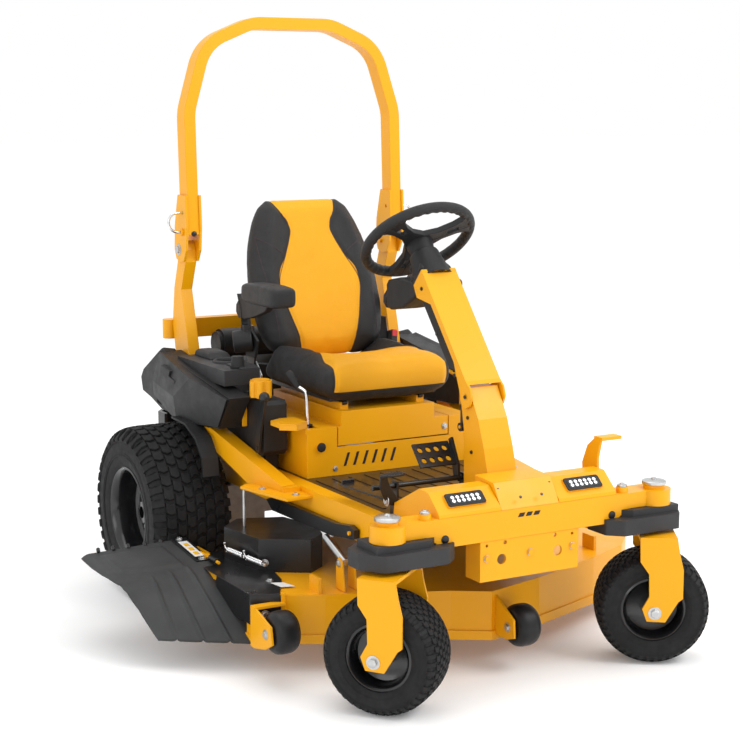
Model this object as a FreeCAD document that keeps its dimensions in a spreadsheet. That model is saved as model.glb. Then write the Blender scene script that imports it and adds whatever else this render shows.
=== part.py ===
import FreeCAD, Part
import math
import os

import Sketcher

# A steering-wheel zero-turn riding mower, 54 inch class, with a folding roll bar.
# Everything is laid out in the machine's own frame: X to the operator's left, Y to the rear,
# Z up, with the rear axle over Y = 0 and the ground at Z = 0.  A piece's Placement then moves it
# by (shift_x, shift_y), so that the file's origin is under the middle of the bounding box.

V = FreeCAD.Vector
DOC = FreeCAD.newDocument("riding_mower")
SHEET = DOC.addObject("Spreadsheet::Sheet", "Dims")

SIZES = {
    "shift_x": 111, "shift_y": 473,
    "kingpin_x": 455, "kingpin_y": -1330, "kingpin_radius": 15, "running_gap": 0.06,
    "right_steer": 39.6, "left_steer": 57.8,
    "front_radius": 167, "front_half": 80, "front_rim": 84,
    "rear_radius": 290, "rear_half": 134, "rear_rim": 150, "rear_wheel_x": 557,
    "beam_front": -1352, "beam_depth": 80, "beam_top": 520, "beam_low": 438, "beam_end_low": 474,
    "boss_radius": 50, "rail_outer": 362, "rail_width": 50, "rail_low": 385, "rail_top": 478,
    "rail_rear": 500, "floor_top": 478, "sheet_metal": 5,
    "fork_half": 107, "fork_plate": 8, "fork_top": 394, "axle_radius": 8,
    "hoop_outer": 415, "tube_wide": 40, "tube_deep": 62, "tube_wall": 3.5, "hoop_low": 1200,
    "hoop_bend": 1612, "hoop_lean": 2.8, "hoop_front": 72, "fold_y": 138, "fold_z": 1150,
    "pin_y": 103, "pin_z": 1276, "pin_radius": 6,
    "column_half": 60, "column_wall": 6, "base_half": 50, "tilt_y": -1101, "tilt_z": 800,
    "wheel_y": -728, "wheel_z": 1227, "wheel_ring": 170, "wheel_grip": 15, "shaft_radius": 10,
    "seat_half": 250, "platform_z": 682, "tilt_seat_y": -560, "tilt_seat_z": 604,
    "deck_low": 85, "deck_top": 232, "blade_length": 460, "blade_x": 455, "deck_middle": 30,
    "side_blade_y": -640, "middle_blade_y": -760, "spindle_radius": 12.5,
    "chute_hinge_x": -612, "chute_hinge_z": 252, "roller_radius": 63, "roller_width": 75,
}


class Size(float):
    """A length that remembers the spreadsheet expression it comes from."""

    def __new__(cls, value, text):
        size = super().__new__(cls, value)
        size.text = text
        return size

    def __add__(self, other):
        return Size(float(self) + float(other), f"({self.text} + {text_of(other)})")

    __radd__ = __add__

    def __sub__(self, other):
        return Size(float(self) - float(other), f"({self.text} - {text_of(other)})")

    def __rsub__(self, other):
        return Size(float(other) - float(self), f"({text_of(other)} - {self.text})")

    def __mul__(self, other):
        return Size(float(self) * float(other), f"({self.text} * {text_of(other)})")

    __rmul__ = __mul__

    def __truediv__(self, other):
        return Size(float(self) / float(other), f"({self.text} / {text_of(other)})")

    def __neg__(self):
        return Size(-float(self), f"(0 - {self.text})")


def text_of(value):
    return value.text if isinstance(value, Size) else repr(float(value))


def fill_sheet():
    for row, (name, value) in enumerate(SIZES.items(), 1):
        SHEET.set(f"A{row}", name)
        SHEET.set(f"B{row}", str(value))
        SHEET.setAlias(f"B{row}", name)
    DOC.recompute()


def dim(name):
    return Size(SHEET.get(name), f"Dims.{name}")


def bind(obj, **sizes):
    """Set properties, and tie each one that comes from the sheet to its cell."""
    for name, value in sizes.items():
        setattr(obj, name, float(value))
        if isinstance(value, Size):
            obj.setExpression(name, value.text)
    return obj


def locate(obj, x=0, y=0, z=0, axis=(0, 0, 1), angle=0):
    obj.Placement = FreeCAD.Placement(V(x, y, z), FreeCAD.Rotation(V(*axis), float(angle)))
    for name, value in (("x", x), ("y", y), ("z", z)):
        if isinstance(value, Size):
            obj.setExpression(f".Placement.Base.{name}", value.text)
    if isinstance(angle, Size):
        obj.setExpression(".Placement.Rotation.Angle", angle.text)
    return obj


def box(x, y, z):
    """A block between two values on each axis."""
    block = DOC.addObject("Part::Box", "Block")
    bind(block, Length=x[1] - x[0], Width=y[1] - y[0], Height=z[1] - z[0])
    return locate(block, x[0], y[0], z[0])


AXIS_TURNS = {"x": ((0, 1, 0), 90), "y": ((1, 0, 0), -90), "z": ((0, 0, 1), 0)}


def rod(axis, start, end, across, radius, top_radius=None):
    """A cylinder or cone along an axis; across holds its other two coordinates in order."""
    kind = "Part::Cylinder" if top_radius is None else "Part::Cone"
    shape = DOC.addObject(kind, "Rod")
    if top_radius is None:
        bind(shape, Radius=radius, Height=end - start)
    else:
        bind(shape, Radius1=radius, Radius2=top_radius, Height=end - start)
    place = list(across)
    place.insert("xyz".index(axis), start)
    turn_axis, turn = AXIS_TURNS[axis]
    return locate(shape, *place, axis=turn_axis, angle=turn)


def slant_rod(start, end, radius):
    """A cylinder between two points."""
    shape = DOC.addObject("Part::Cylinder", "SlantRod")
    along = V(*end) - V(*start)
    bind(shape, Radius=radius, Height=along.Length)
    shape.Placement = FreeCAD.Placement(V(*start), FreeCAD.Rotation(V(0, 0, 1), along))
    return shape


PLANES = {"top": "XY_Plane", "front": "XZ_Plane", "side": "YZ_Plane"}


def new_body(name="Body"):
    return DOC.addObject("PartDesign::Body", name)


def sketch_in(body, plane, offset, outline, holes=(), loops=()):
    """A closed outline, with round holes, on one of the body's own origin planes."""
    sketch = body.newObject("Sketcher::SketchObject", "Outline")
    base = [item for item in body.Origin.OriginFeatures if item.Role == PLANES[plane]][0]
    sketch.AttachmentSupport = [(base, "")]
    sketch.MapMode = "FlatFace"
    lift = -offset if plane == "front" else offset
    sketch.AttachmentOffset = FreeCAD.Placement(V(0, 0, float(lift)), FreeCAD.Rotation())
    if isinstance(lift, Size):
        sketch.setExpression(".AttachmentOffset.Base.z", lift.text)
    for corners in (outline, *loops):
        draw_loop(sketch, corners)
    for x, y, radius in holes:
        draw_circle(sketch, x, y, radius)
    return sketch


def fix_point(sketch, curve, corner, x, y):
    for kind, value in (("DistanceX", x), ("DistanceY", y)):
        index = sketch.addConstraint(constraint(kind, curve, corner, float(value)))
        if isinstance(value, Size):
            sketch.setExpression(f"Constraints[{index}]", value.text)


def constraint(*parts):
    return Sketcher.Constraint(*parts)


def draw_loop(sketch, corners):
    first = sketch.GeometryCount
    count = len(corners)
    points = [V(float(x), float(y), 0) for x, y in corners]
    lines = [Part.LineSegment(points[i], points[(i + 1) % count]) for i in range(count)]
    sketch.addGeometry(lines)
    joins = [constraint("Coincident", first + i, 2, first + (i + 1) % count, 1) for i in range(count)]
    sketch.addConstraint(joins)
    for i, (x, y) in enumerate(corners):
        fix_point(sketch, first + i, 1, x, y)


def draw_circle(sketch, x, y, radius):
    curve = sketch.addGeometry(Part.Circle(V(float(x), float(y), 0), V(0, 0, 1), float(radius)))
    fix_point(sketch, curve, 3, x, y)
    index = sketch.addConstraint(constraint("Radius", curve, float(radius)))
    if isinstance(radius, Size):
        sketch.setExpression(f"Constraints[{index}]", radius.text)


def slab(plane, start, end, outline, holes=(), loops=(), soften=0, round_if=None):
    """A padded outline between two positions on the axis that the plane faces."""
    body = new_body("Slab")
    at = end if plane == "front" else start
    sketch = sketch_in(body, plane, at, outline, holes, loops)
    pad = body.newObject("PartDesign::Pad", "Pad")
    pad.Profile = sketch
    bind(pad, Length=end - start)
    if soften:
        DOC.recompute()
        names = pick_edges(pad.Shape, round_if or (lambda edge: True))
        fillet = body.newObject("PartDesign::Fillet", "Fillet")
        fillet.Base = (pad, names)
        bind(fillet, Radius=soften)
        body.Tip = fillet
    return body


def pick_edges(shape, test):
    return [f"Edge{i}" for i, edge in enumerate(shape.Edges, 1) if test(edge)]


def runs_along(axis):
    """A test for straight edges parallel to an axis."""
    index = "xyz".index(axis)

    def test(edge):
        if len(edge.Vertexes) < 2:
            return False
        step = edge.Vertexes[1].Point - edge.Vertexes[0].Point
        return step.Length > 1 and abs(step[index]) > 0.999 * step.Length

    return test


def turned(outline, loops=()):
    """A solid of revolution about the X axis; the outline is (x, radius)."""
    body = new_body("Turned")
    sketch = sketch_in(body, "front", 0, outline, loops=loops)
    spin = body.newObject("PartDesign::Revolution", "Revolution")
    spin.Profile = sketch
    spin.ReferenceAxis = (sketch, ["H_Axis"])
    spin.Angle = 360
    return body


def join(*parts):
    union = DOC.addObject("Part::MultiFuse", "Union")
    union.Shapes = list(parts)
    return union


def trim(base, *tools):
    result = DOC.addObject("Part::Cut", "Trimmed")
    result.Base = base
    result.Tool = tools[0] if len(tools) == 1 else join(*tools)
    return result


def overlap(first, second):
    result = DOC.addObject("Part::Common", "Overlap")
    result.Base = first
    result.Tool = second
    return result


def mirrored(outline):
    """An outline drawn for one half, closed by its mirror image about the first coordinate's zero."""
    return outline + [(-x, y) for x, y in reversed(outline)]


def pose(obj, point, turn):
    """Turn a part drawn about the origin and carry it to a point."""
    obj.Placement = FreeCAD.Placement(point, turn).multiply(obj.Placement)
    return obj


def inset(outline, gap):
    """The outline moved inward by gap; the outline runs counter-clockwise."""
    count = len(outline)
    moved = []
    for i in range(count):
        before, here, after = (V(*map(float, outline[(i + k) % count]), 0) for k in (-1, 0, 1))
        along_in = (here - before).normalize()
        along_out = (after - here).normalize()
        normal_in = V(-along_in.y, along_in.x, 0)
        normal_out = V(-along_out.y, along_out.x, 0)
        corner = normal_in + normal_out
        moved.append(here + corner * (2 * gap / corner.dot(corner)))
    return [(point.x, point.y) for point in moved]


PIECES = []


def piece(obj, label, x=0, y=0, z=0, angle=0):
    """Name a finished sub-part and put it in place."""
    obj.Label = label
    locate(obj, dim("shift_x") + x, dim("shift_y") + y, z, angle=angle)
    PIECES.append(obj)
    return obj


def other_side(obj, label):
    """The same sub-part mirrored to the operator's other side."""
    copy = DOC.addObject("Part::Mirroring", "Mirror")
    copy.Source = obj
    copy.Normal = V(1, 0, 0)
    copy.Base = V(float(dim("shift_x")), 0, 0)
    copy.setExpression(".Base.x", "Dims.shift_x")
    copy.Label = label
    PIECES.append(copy)
    return copy


# ---------------------------------------------------------------- frame


def front_beam():
    front = dim("beam_front")
    back = front + dim("beam_depth")
    top = dim("beam_top")
    low = dim("beam_low")
    end_low = dim("beam_end_low")
    outline = mirrored([(345, end_low), (290, low)][::-1] + [(455, end_low), (455, top)])
    beam = slab("front", front, back, outline)
    bosses = []
    bores = []
    for side in (-1, 1):
        x = dim("kingpin_x") * side
        y = dim("kingpin_y")
        bosses.append(rod("z", end_low, top, (x, y), dim("boss_radius")))
        bosses.append(rod("z", top, top + 12, (x, y), 31))
        bosses.append(rod("z", top, top + 17, (337 * side, y), 17))
        bores.append(rod("z", end_low - 1, top + 13, (x, y), dim("kingpin_radius") + dim("running_gap")))
    piece(trim(join(beam, *bosses), *bores), "front_beam")


def rails():
    """The two main rails, with the roll bar's seat and the pin that the deck's lift arm turns on."""
    outer = -dim("rail_outer")
    inner = outer + dim("rail_width")
    low = dim("rail_low")
    top = dim("rail_top")
    front = dim("beam_front") + dim("beam_depth")
    swing_end = front + 42
    swing_top = low + 11
    rail = slab("side", outer, inner, [(front, swing_top), (swing_end, swing_top), (swing_end, low),
                                       (dim("rail_rear"), low), (dim("rail_rear"), top), (front, top)])
    post_seat = box((-415, -352), (60, 165), (458, 500))
    pin = rod("x", -390, outer + 1, (-992, 411), 6)
    right = piece(join(rail, post_seat, pin), "rail_right")
    other_side(right, "rail_left")


def tow_plate():
    front = dim("beam_front") + 2
    low = 322
    top = dim("beam_low")
    outer = box((-168, 168), (front, front + 74), (low, top))
    inner = box((-160, 160), (front + 8, front + 75), (low - 1, top + 1))
    holes = []
    for x, z, radius in ((96, 381, 15), (85, 428, 6), (146, 425, 4.5)):
        holes += [rod("y", front - 1, front + 9, (side * x, z), radius) for side in (-1, 1)]
    bolts = [rod("y", front - 7, front + 14, (x, 389), 9) for x in (-146, 0, 146)]
    piece(join(trim(outer, inner, *holes), *bolts), "tow_plate")


def floor_pan():
    """The ribbed foot floor, with the lugs that the three pedals hang on."""
    half = dim("rail_outer") - dim("rail_width")
    top = dim("floor_top")
    front = dim("beam_front") + dim("beam_depth")
    pan = box((-half, half), (front, -60), (top - dim("sheet_metal"), top))
    ribs = [box((x, x + 12), (-1020, -600), (top - 1, top + 2)) for x in range(-290, 290, 58)]
    brake_lugs = []
    for x in (-270, -40):
        lug = box((x, x + 6), (-1066, -1038), (top - 1, 566))
        brake_lugs.append(trim(lug, rod("x", x - 1, x + 7, (-1052, 552), 8 + dim("running_gap"))))
    drive_lug = box((-300, -294), (-1099, -1078), (top - 1, 530))
    drive_pin = rod("x", -320, -294, (-1093, 520), 6)
    lift_foot = box((303, 324), (-1240, -1184), (top, top + 6))
    lift_lug = box((318, 324), (-1226, -1198), (top, 574))
    lift_pin = rod("x", 304, 324, (-1212, 560), 8)
    piece(join(pan, *ribs, *brake_lugs, drive_lug, drive_pin, lift_foot, lift_lug, lift_pin), "floor_pan")


def seat_box():
    low = dim("floor_top")
    right = box((-300, -193), (-562, -60), (low, 634))
    right_hollow = box((-295, -198), (-557, -65), (low - 1, 629))
    left = box((222, 300), (-562, -60), (low, 634))
    left_hollow = box((227, 295), (-557, -65), (low - 1, 629))
    slot = box((-282, -252), (-540, -470), (600, 640))
    plug = rod("y", -568, -550, (-253, 575), 13)
    panel = box((-193, 222), (-562, -557), (low, 569))
    wing = slab("top", 656, 661, [(-300, -562), (-350, -590), (-392, -552), (-392, -492), (-350, -470),
                                  (-300, -470)])
    wing_side = box((-305, -300), (-562, -470), (620, 661))
    shell = trim(join(right, left, panel, wing, wing_side), right_hollow, left_hollow, slot)
    piece(join(shell, plug), "seat_box")


def cowls():
    """Three plastic covers behind the front beam; the outer two carry the lamps."""
    top = dim("beam_top")
    floor = dim("floor_top")
    back = dim("beam_front") + dim("beam_depth")
    middle = [(-1350, top), (back, top), (back, floor), (-1211, floor), (-1211, 596), (-1305, 590)]
    piece(slab("side", -98, 98, middle), "cowl_middle")
    side = [(-1350, top), (back, top), (back, floor), (-1100, floor), (-1106, 516), (-1240, 584),
            (-1288, 582), (-1346, 531)]
    body = slab("side", -302, -99, side)
    lamp = box((-62, 62), (-21, 21), (-4, 5))
    pose(lamp, V(-201, -1317, 556.5), FreeCAD.Rotation(V(1, 0, 0), 41))
    right = piece(join(body, lamp), "cowl_right")
    other_side(right, "cowl_left")


def column_base():
    half = dim("base_half")
    floor = dim("floor_top")
    side = [(-1210, floor), (-1080, floor), (-1076, 700), (-1058, 790), (-1064, 826), (-1100, 828),
            (-1152, 740), (-1183, 660), (-1204, 590)]
    base = slab("side", -half, half, side)
    pivot = rod("x", -half - 9, half + 9, (dim("tilt_y"), dim("tilt_z")), 9)
    skirt = box((-75, 75), (-1208, -1070), (floor, floor + 6))
    strut_lug = box((-17, -9), (-1085, -1028), (688, 712))
    strut_pin = rod("x", -43, -9, (-1040, 700), 5)
    piece(join(base, pivot, skirt, strut_lug, strut_pin), "column_base")


FENDER_SIDE = [(-322, 615), (-118, 600), (150, 606), (270, 640), (279, 725), (141, 806), (-407, 725)]


def fenders():
    """Moulded fenders, open inboard, with a splash guard in front of each rear tyre."""
    shell = slab("side", -492, -420, FENDER_SIDE)
    hollow = slab("side", -487, -419, inset(FENDER_SIDE, 5))
    guard = slab("side", -545, -490, [(-318, 462), (-306, 462), (-298, 520), (-250, 572), (-170, 606),
                                      (-60, 612), (-60, 618), (-172, 613), (-258, 580), (-308, 524)])
    right = piece(join(trim(shell, hollow), guard), "fender_right")
    other_side(right, "fender_left")


def fender_decks():
    """A sloping perforated plate beside each console, on a front leg."""
    plate = slab("side", -480, -402, [(-350, 708), (-140, 739), (-140, 744), (-350, 713)])
    holes = [rod("z", 700, 750, (x, y), 8) for x in (-460, -422) for y in (-320, -280, -240, -200)]
    leg = box((-419, -403), (-345, -340), (620, 711))
    right = piece(join(trim(plate, *holes), leg), "fender_deck_right")
    other_side(right, "fender_deck_left")


def struts():
    """A box beam from each rail up to the fender, splayed so that it passes over the tyre's inner edge."""
    beam = slab("side", -26, 26, [(10, 455), (160, 446), (500, 584), (505, 598), (395, 603), (0, 480)])
    locate(beam, -395, -622, 0, angle=9)
    foot = box((-421, -362), (-640, -560), (455, 478))
    tab = slab("top", 455, 463, [(-362, -715), (-362, -480), (-470, -470), (-500, -495), (-450, -720)])
    right = piece(join(beam, foot, tab), "strut_right")
    other_side(right, "strut_left")


def roll_bar_posts():
    outer = -dim("hoop_outer")
    side = [(60, 500), (165, 500), (185, 735), (222, 885), (203, 1013), (168, 1108), (168, 1150),
            (159, 1171), (138, 1180), (117, 1171), (108, 1150), (104, 1108), (143, 1013), (66, 735)]
    post = slab("side", outer, outer + dim("tube_wide"), side)
    bolt = rod("x", outer - 16, outer + dim("tube_wide") + 16, (dim("fold_y"), dim("fold_z")), 8)
    right = piece(join(post, bolt), "roll_bar_post_right")
    other_side(right, "roll_bar_post_left")


def rear_crossbar():
    outline = [(-440, 223), (440, 223), (440, 271), (-440, 271)]
    bar = slab("top", 834, 900, outline, soften=22, round_if=runs_along("z"))
    piece(bar, "rear_crossbar")


def rear_bumper():
    back = dim("rail_rear") + 45
    low = dim("rail_low")
    top = dim("rail_top")
    guard = slab("top", top, 530, [(-362, 440), (-350, 440), (-350, 496), (-320, back - 12), (320, back - 12),
                                   (350, 496), (350, 440), (362, 440), (362, 500), (325, back), (-325, back),
                                   (-362, 500)])
    panel = box((-362, 362), (dim("rail_rear"), dim("rail_rear") + 8), (low, top))
    brows = [slab("top", top - 6, top, [(110, 500), (362, 500), (325, back), (110, back)]),
             slab("top", top - 6, top, [(-362, 500), (-110, 500), (-110, back), (-325, back)])]
    hitch = slab("top", low, low + 12, [(-90, 470), (90, 470), (60, back), (-60, back)],
                 holes=[(0, 520, 9.5)])
    piece(join(guard, panel, *brows, hitch), "rear_bumper")


def engine():
    case = box((-170, 170), (110, 420), (450, 620))
    cradle = box((-312, 312), (100, 440), (440, 451))
    shroud = rod("z", 620, 735, (0, 265), 185)
    dome = rod("z", 735, 762, (0, 265), 150, 90)
    heads = [box((side * 215 - 65, side * 215 + 65), (250, 400), (520, 640)) for side in (-1, 1)]
    muffler = rod("x", -190, 190, (462, 600), 33)
    pipes = [rod("y", 400, 462, (side * 150, 600), 14) for side in (-1, 1)]
    piece(join(case, cradle, shroud, dome, *heads, muffler, *pipes), "engine")


def air_cleaner():
    can = rod("x", -276, 142, (142, 818), 50)
    cap = rod("x", -290, -276, (142, 818), 42)
    duct = box((10, 70), (172, 200), (762.2, 800))
    piece(join(can, cap, duct), "air_cleaner")


def tank():
    """The right fuel tank, with the stud that the parking lever turns on."""
    body = slab("side", -400, -320, [(-462, 556), (-446, 540), (-235, 540), (-235, 705), (-245, 715),
                                     (-450, 715), (-462, 703)])
    stud = rod("x", -416, -399, (-438, 566), 6)
    foot = box((-375, -330), (-420, -280), (dim("rail_top"), 541))
    piece(join(body, stud, foot), "fuel_tank")


def transaxles():
    case = box((230, 372), (-110, 95), (190, 372))
    pump = rod("z", 372, 432, (250, -20), 50)
    axle = rod("x", 372, dim("rear_wheel_x") - 20, (0, dim("rear_radius")), 20)
    case_right = box((-372, -230), (-110, 95), (190, 372))
    pump_right = rod("z", 372, 432, (-250, -20), 50)
    axle_right = rod("x", -dim("rear_wheel_x") + 20, -372, (0, dim("rear_radius")), 20)
    tie = box((-232, 232), (-40, 40), (250, 300))
    mounts = [box((side * 300 - 20, side * 300 + 20), (60, 90), (371, dim("rail_low"))) for side in (-1, 1)]
    mounts += [box((side * 330 - 20, side * 330 + 20), (-100, -70), (371, dim("rail_low")))
               for side in (-1, 1)]
    piece(join(case, pump, axle, case_right, pump_right, axle_right, tie, *mounts), "transaxles")


def console():
    """The tray with the cup holder, cut away where the fender's crown passes beside it."""
    outline = [(-470, -322), (-345, -322), (-325, -250), (-325, 20), (-360, 56), (-470, 56)]
    tray = slab("top", 750, 800, outline)
    cup = rod("z", 753, 801, (-376, -150), 40)
    crown = slab("side", -493, -419.5, inset(FENDER_SIDE, -0.5))
    stay = box((-416, -404), (-180, -150), (743, 751))
    piece(trim(join(tray, stay), cup, crown), "console")


def gear_covers():
    """Covers over the steering gears, cut to the underside of the beam and to the end of the rail."""
    low = slab("top", 406, 452, [(-545, -1330), (-500, -1398), (-300, -1398), (-258, -1360), (-258, -1232),
                                 (-500, -1232), (-545, -1270)], soften=14, round_if=runs_along("z"))
    step = slab("top", 451, 473.5, [(-512, -1376), (-345, -1376), (-320, -1352.5), (-320, -1262),
                                    (-512, -1262)])
    beam_room = slab("front", -1352.5, -1271.5, [(-256, 437.5), (-256, 475), (-347, 475), (-290.5, 437.5)])
    rail_room = box((-364, -256), (-1274, -1230), (400, 480))
    shaft = rod("z", 400, 480, (-dim("kingpin_x"), dim("kingpin_y")), 17)
    right = piece(trim(join(low, step), beam_room, rail_room, shaft), "gear_cover_right")
    other_side(right, "gear_cover_left")


# ---------------------------------------------------------------- front and rear wheels


def fork():
    radius = dim("front_radius")
    half = dim("fork_half")
    plate = dim("fork_plate")
    top = dim("fork_top")
    leg = [(-81, 212), (-81, 298), (-69, 347), (-61, top), (47, top), (45, 321), (19, 284), (17, 216),
           (37, 179), (23, 142), (-31, 140), (-68, 202)][::-1]
    legs = [slab("side", -half, plate - half, leg), slab("side", half - plate, half, leg)]
    crown = box((-half, half), (-61, 47), (top - 10, top))
    pin = rod("z", top, dim("beam_top") + 12, (0, 0), dim("kingpin_radius"))
    axle = rod("x", -half - 10, half + 10, (0, radius), dim("axle_radius"))
    return join(*legs, crown, pin, axle)


def front_wheel():
    half = dim("front_half")
    radius = dim("front_radius")
    rim = dim("front_rim")
    bore = dim("axle_radius") + dim("running_gap")
    outline = mirrored([(8, bore), (half + 14, bore), (half + 14, 22), (20, 24), (14, rim - 8),
                        (half - 14, rim - 6), (half - 10, rim + 6), (half - 1, rim + 22), (half, radius - 48),
                        (half - 6, radius - 22), (half - 22, radius - 5), (half - 40, radius)][1:])
    hollow = mirrored([(half - 24, rim + 14), (half - 14, radius - 48), (half - 24, radius - 26),
                       (half - 44, radius - 18)])
    return turned(outline, loops=[hollow])


def steered_wheels():
    for side, steer, name in ((-1, dim("right_steer"), "right"), (1, dim("left_steer"), "left")):
        x = dim("kingpin_x") * side
        y = dim("kingpin_y")
        piece(fork(), f"fork_{name}", x, y, angle=steer)
        piece(front_wheel(), f"front_wheel_{name}", x, y, dim("front_radius"), angle=steer)


def rear_wheel():
    half = dim("rear_half")
    radius = dim("rear_radius")
    rim = dim("rear_rim")
    bore = 20 + dim("running_gap")
    outline = [(-74, bore), (-74, 58), (-40, 62), (-30, rim - 10), (10 - half, rim - 8),
               (12 - half, rim + 8), (-half, rim + 40), (1 - half, radius - 60), (10 - half, radius - 24),
               (36 - half, radius - 3), (70 - half, radius), (half - 70, radius), (half - 36, radius - 3),
               (half - 10, radius - 24), (half - 1, radius - 60), (half, rim + 40), (half - 12, rim + 8),
               (half - 10, rim - 8), (-22, rim - 10), (-26, 60), (-26, bore)]
    hollow = mirrored([(half - 26, rim + 16), (half - 16, rim + 40), (half - 17, radius - 60),
                       (half - 36, radius - 28), (half - 70, radius - 20)])
    return turned(outline, loops=[hollow])


def driven_wheels():
    radius = dim("rear_radius")
    right = piece(rear_wheel(), "rear_wheel_right", -dim("rear_wheel_x"), 0, radius)
    other_side(right, "rear_wheel_left")


# ---------------------------------------------------------------- roll bar


def hoop():
    """A bent rectangular tube with forked brackets that straddle the posts."""
    body = new_body("HoopTube")
    wide = dim("tube_wide")
    deep = dim("tube_deep")
    wall = dim("tube_wall")
    x = dim("hoop_outer") - wide / 2
    low = dim("hoop_low")
    bend = dim("hoop_bend")
    route = hoop_route(float(x), float(low), float(bend))
    spine = body.newObject("Sketcher::SketchObject", "Spine")
    front = [item for item in body.Origin.OriginFeatures if item.Role == PLANES["front"]][0]
    spine.AttachmentSupport = [(front, "")]
    spine.MapMode = "FlatFace"
    spine.addGeometry(route)
    profile = sketch_in(body, "top", low, rectangle(-x, wide, deep), loops=[
        rectangle(-x, wide - 2 * wall, deep - 2 * wall)])
    DOC.recompute()
    pipe = body.newObject("PartDesign::AdditivePipe", "Tube")
    pipe.Profile = profile
    pipe.Spine = (spine, [f"Edge{i}" for i in range(1, len(route) + 1)])
    pipe.Mode = "Standard"
    body.Tip = pipe
    lean = FreeCAD.Rotation(V(1, 0, 0), -float(dim("hoop_lean")))
    centre = V(0, float(dim("fold_y")), float(dim("fold_z")))
    base = V(0, float(dim("hoop_front") + deep / 2), 0)
    body.Placement = FreeCAD.Placement(centre + lean.multVec(base - centre), lean)
    plate = [(76, 1335), (70, 1230), (78, 1150), (100, 1112), (130, 1108), (160, 1118), (174, 1150),
             (170, 1230), (152, 1300), (142, 1335)][::-1]
    plates = []
    bolt = (dim("fold_y"), dim("fold_z"), 8 + dim("running_gap"))
    pin = (dim("pin_y"), dim("pin_z"), dim("pin_radius") + dim("running_gap"))
    outer = dim("hoop_outer")
    for face in (-outer - 8.5, -outer + wide + 0.5, outer - wide - 8.5, outer + 0.5):
        plates.append(slab("side", face, face + 8, plate, holes=[bolt, pin]))
    fillers = [box((face, face + wide + 2), (84, 138), (1318, 1334))
               for face in (-outer - 1, outer - wide - 1)]
    socket = dim("pin_radius") + dim("running_gap")
    sockets = [rod("x", face, face + wide + 20, (dim("pin_y"), dim("pin_z")), socket)
               for face in (-outer - 10, outer - wide - 10)]
    piece(trim(join(body, *plates, *fillers), *sockets), "roll_bar_hoop")


def rectangle(middle, wide, deep):
    return [(middle - wide / 2, -deep / 2), (middle + wide / 2, -deep / 2), (middle + wide / 2, deep / 2),
            (middle - wide / 2, deep / 2)]


def hoop_route(x, low, bend):
    """The tube's centre line: two legs, two slanted shoulders and a top bar, joined by arcs."""
    corners = [(-x, low), (-x, bend), (-x + 68, 1834), (-150, 1907), (150, 1907), (x - 68, 1834), (x, bend),
               (x, low)]
    radii = [0, 180, 150, 160, 160, 150, 180, 0]
    curves = []
    last = V(*corners[0], 0)
    for i in range(1, len(corners) - 1):
        before, here, after = (V(*corners[i + k], 0) for k in (-1, 0, 1))
        back = (before - here).normalize()
        ahead = (after - here).normalize()
        half_angle = back.getAngle(ahead) / 2
        reach = radii[i] / math.tan(half_angle)
        start = here + back * reach
        end = here + ahead * reach
        towards = (back + ahead).normalize()
        middle = here + towards * (radii[i] / math.sin(half_angle) - radii[i])
        curves.append(Part.LineSegment(last, start))
        curves.append(Part.Arc(start, middle, end))
        last = end
    curves.append(Part.LineSegment(last, V(*corners[-1], 0)))
    return curves


def lock_pins():
    y = dim("pin_y")
    z = dim("pin_z")
    outer = -dim("hoop_outer")
    pin = rod("x", outer - 18, outer + dim("tube_wide") + 14, (y, z), dim("pin_radius"))
    ring = DOC.addObject("Part::Torus", "Ring")
    bind(ring, Radius1=30, Radius2=4.5)
    ring.Placement = FreeCAD.Placement(V(float(outer) - 18, float(y), float(z) - 30),
                                       FreeCAD.Rotation(V(1, 0, 0), 90))
    keep = box((outer - 60, outer - 18), (y - 10, y + 10), (z - 70, z + 10))
    stub = rod("x", outer - 18, outer - 8.6, (y, z - 60), 4.5)
    right = piece(join(pin, overlap(ring, keep), stub), "lock_pin_right")
    other_side(right, "lock_pin_left")


# ---------------------------------------------------------------- steering


def steering_column():
    half = dim("column_half")
    wall = dim("column_wall")
    side = [(-847, 1149), (-1098, 846), (-1120, 828), (-1130, 800), (-1120, 775), (-1096, 764),
            (-1076, 776), (-1068, 806), (-1033, 893), (-902, 1050), (-822, 1062), (-803, 1098)]
    inside = [(-856, 1130), (-1100, 836), (-1140, 836), (-1140, 750), (-1050, 750), (-1010, 880),
              (-890, 1040), (-810, 1040), (-790, 1090)]
    shell = trim(slab("side", -half, half, side), slab("side", wall - half, half - wall, inside))
    strip = slab("side", -46, 46, [(-858, 1124), (-1040, 904), (-1020, 868), (-988, 872), (-835, 1054),
                                   (-812, 1092)])
    tilt = steering_tilt()
    boot = pose(rod("z", 0, 95, (0, 0), 58, 34), wheel_point(-150), tilt)
    neck = overlap(rod("z", 0, 40, (0, 0), 66, 58), box((-60, 60), (-36, 36), (0, 40)))
    neck = pose(neck, wheel_point(-184), tilt)
    bearing = rod("z", 0, 100, (0, 0), dim("shaft_radius") + dim("running_gap"))
    bearing = pose(bearing, wheel_point(-150), tilt)
    pivots = rod("x", -half - 1, half + 1, (dim("tilt_y"), dim("tilt_z")), 9 + dim("running_gap"))
    strut_tab = slab("side", -46, -38, [(-1048, 848), (-1030, 848), (-1008, 880), (-1016, 900), (-1040, 906)])
    piece(trim(join(shell, strip, boot, neck, strut_tab), bearing, pivots), "steering_column")


def steering_tilt():
    return FreeCAD.Rotation(V(1, 0, 0), -39.6)


def wheel_point(along):
    """A point on the steering shaft, along millimetres above the wheel's centre."""
    axis = steering_tilt().multVec(V(0, 0, 1))
    return V(0, float(dim("wheel_y")), float(dim("wheel_z"))) + axis * along


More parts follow.
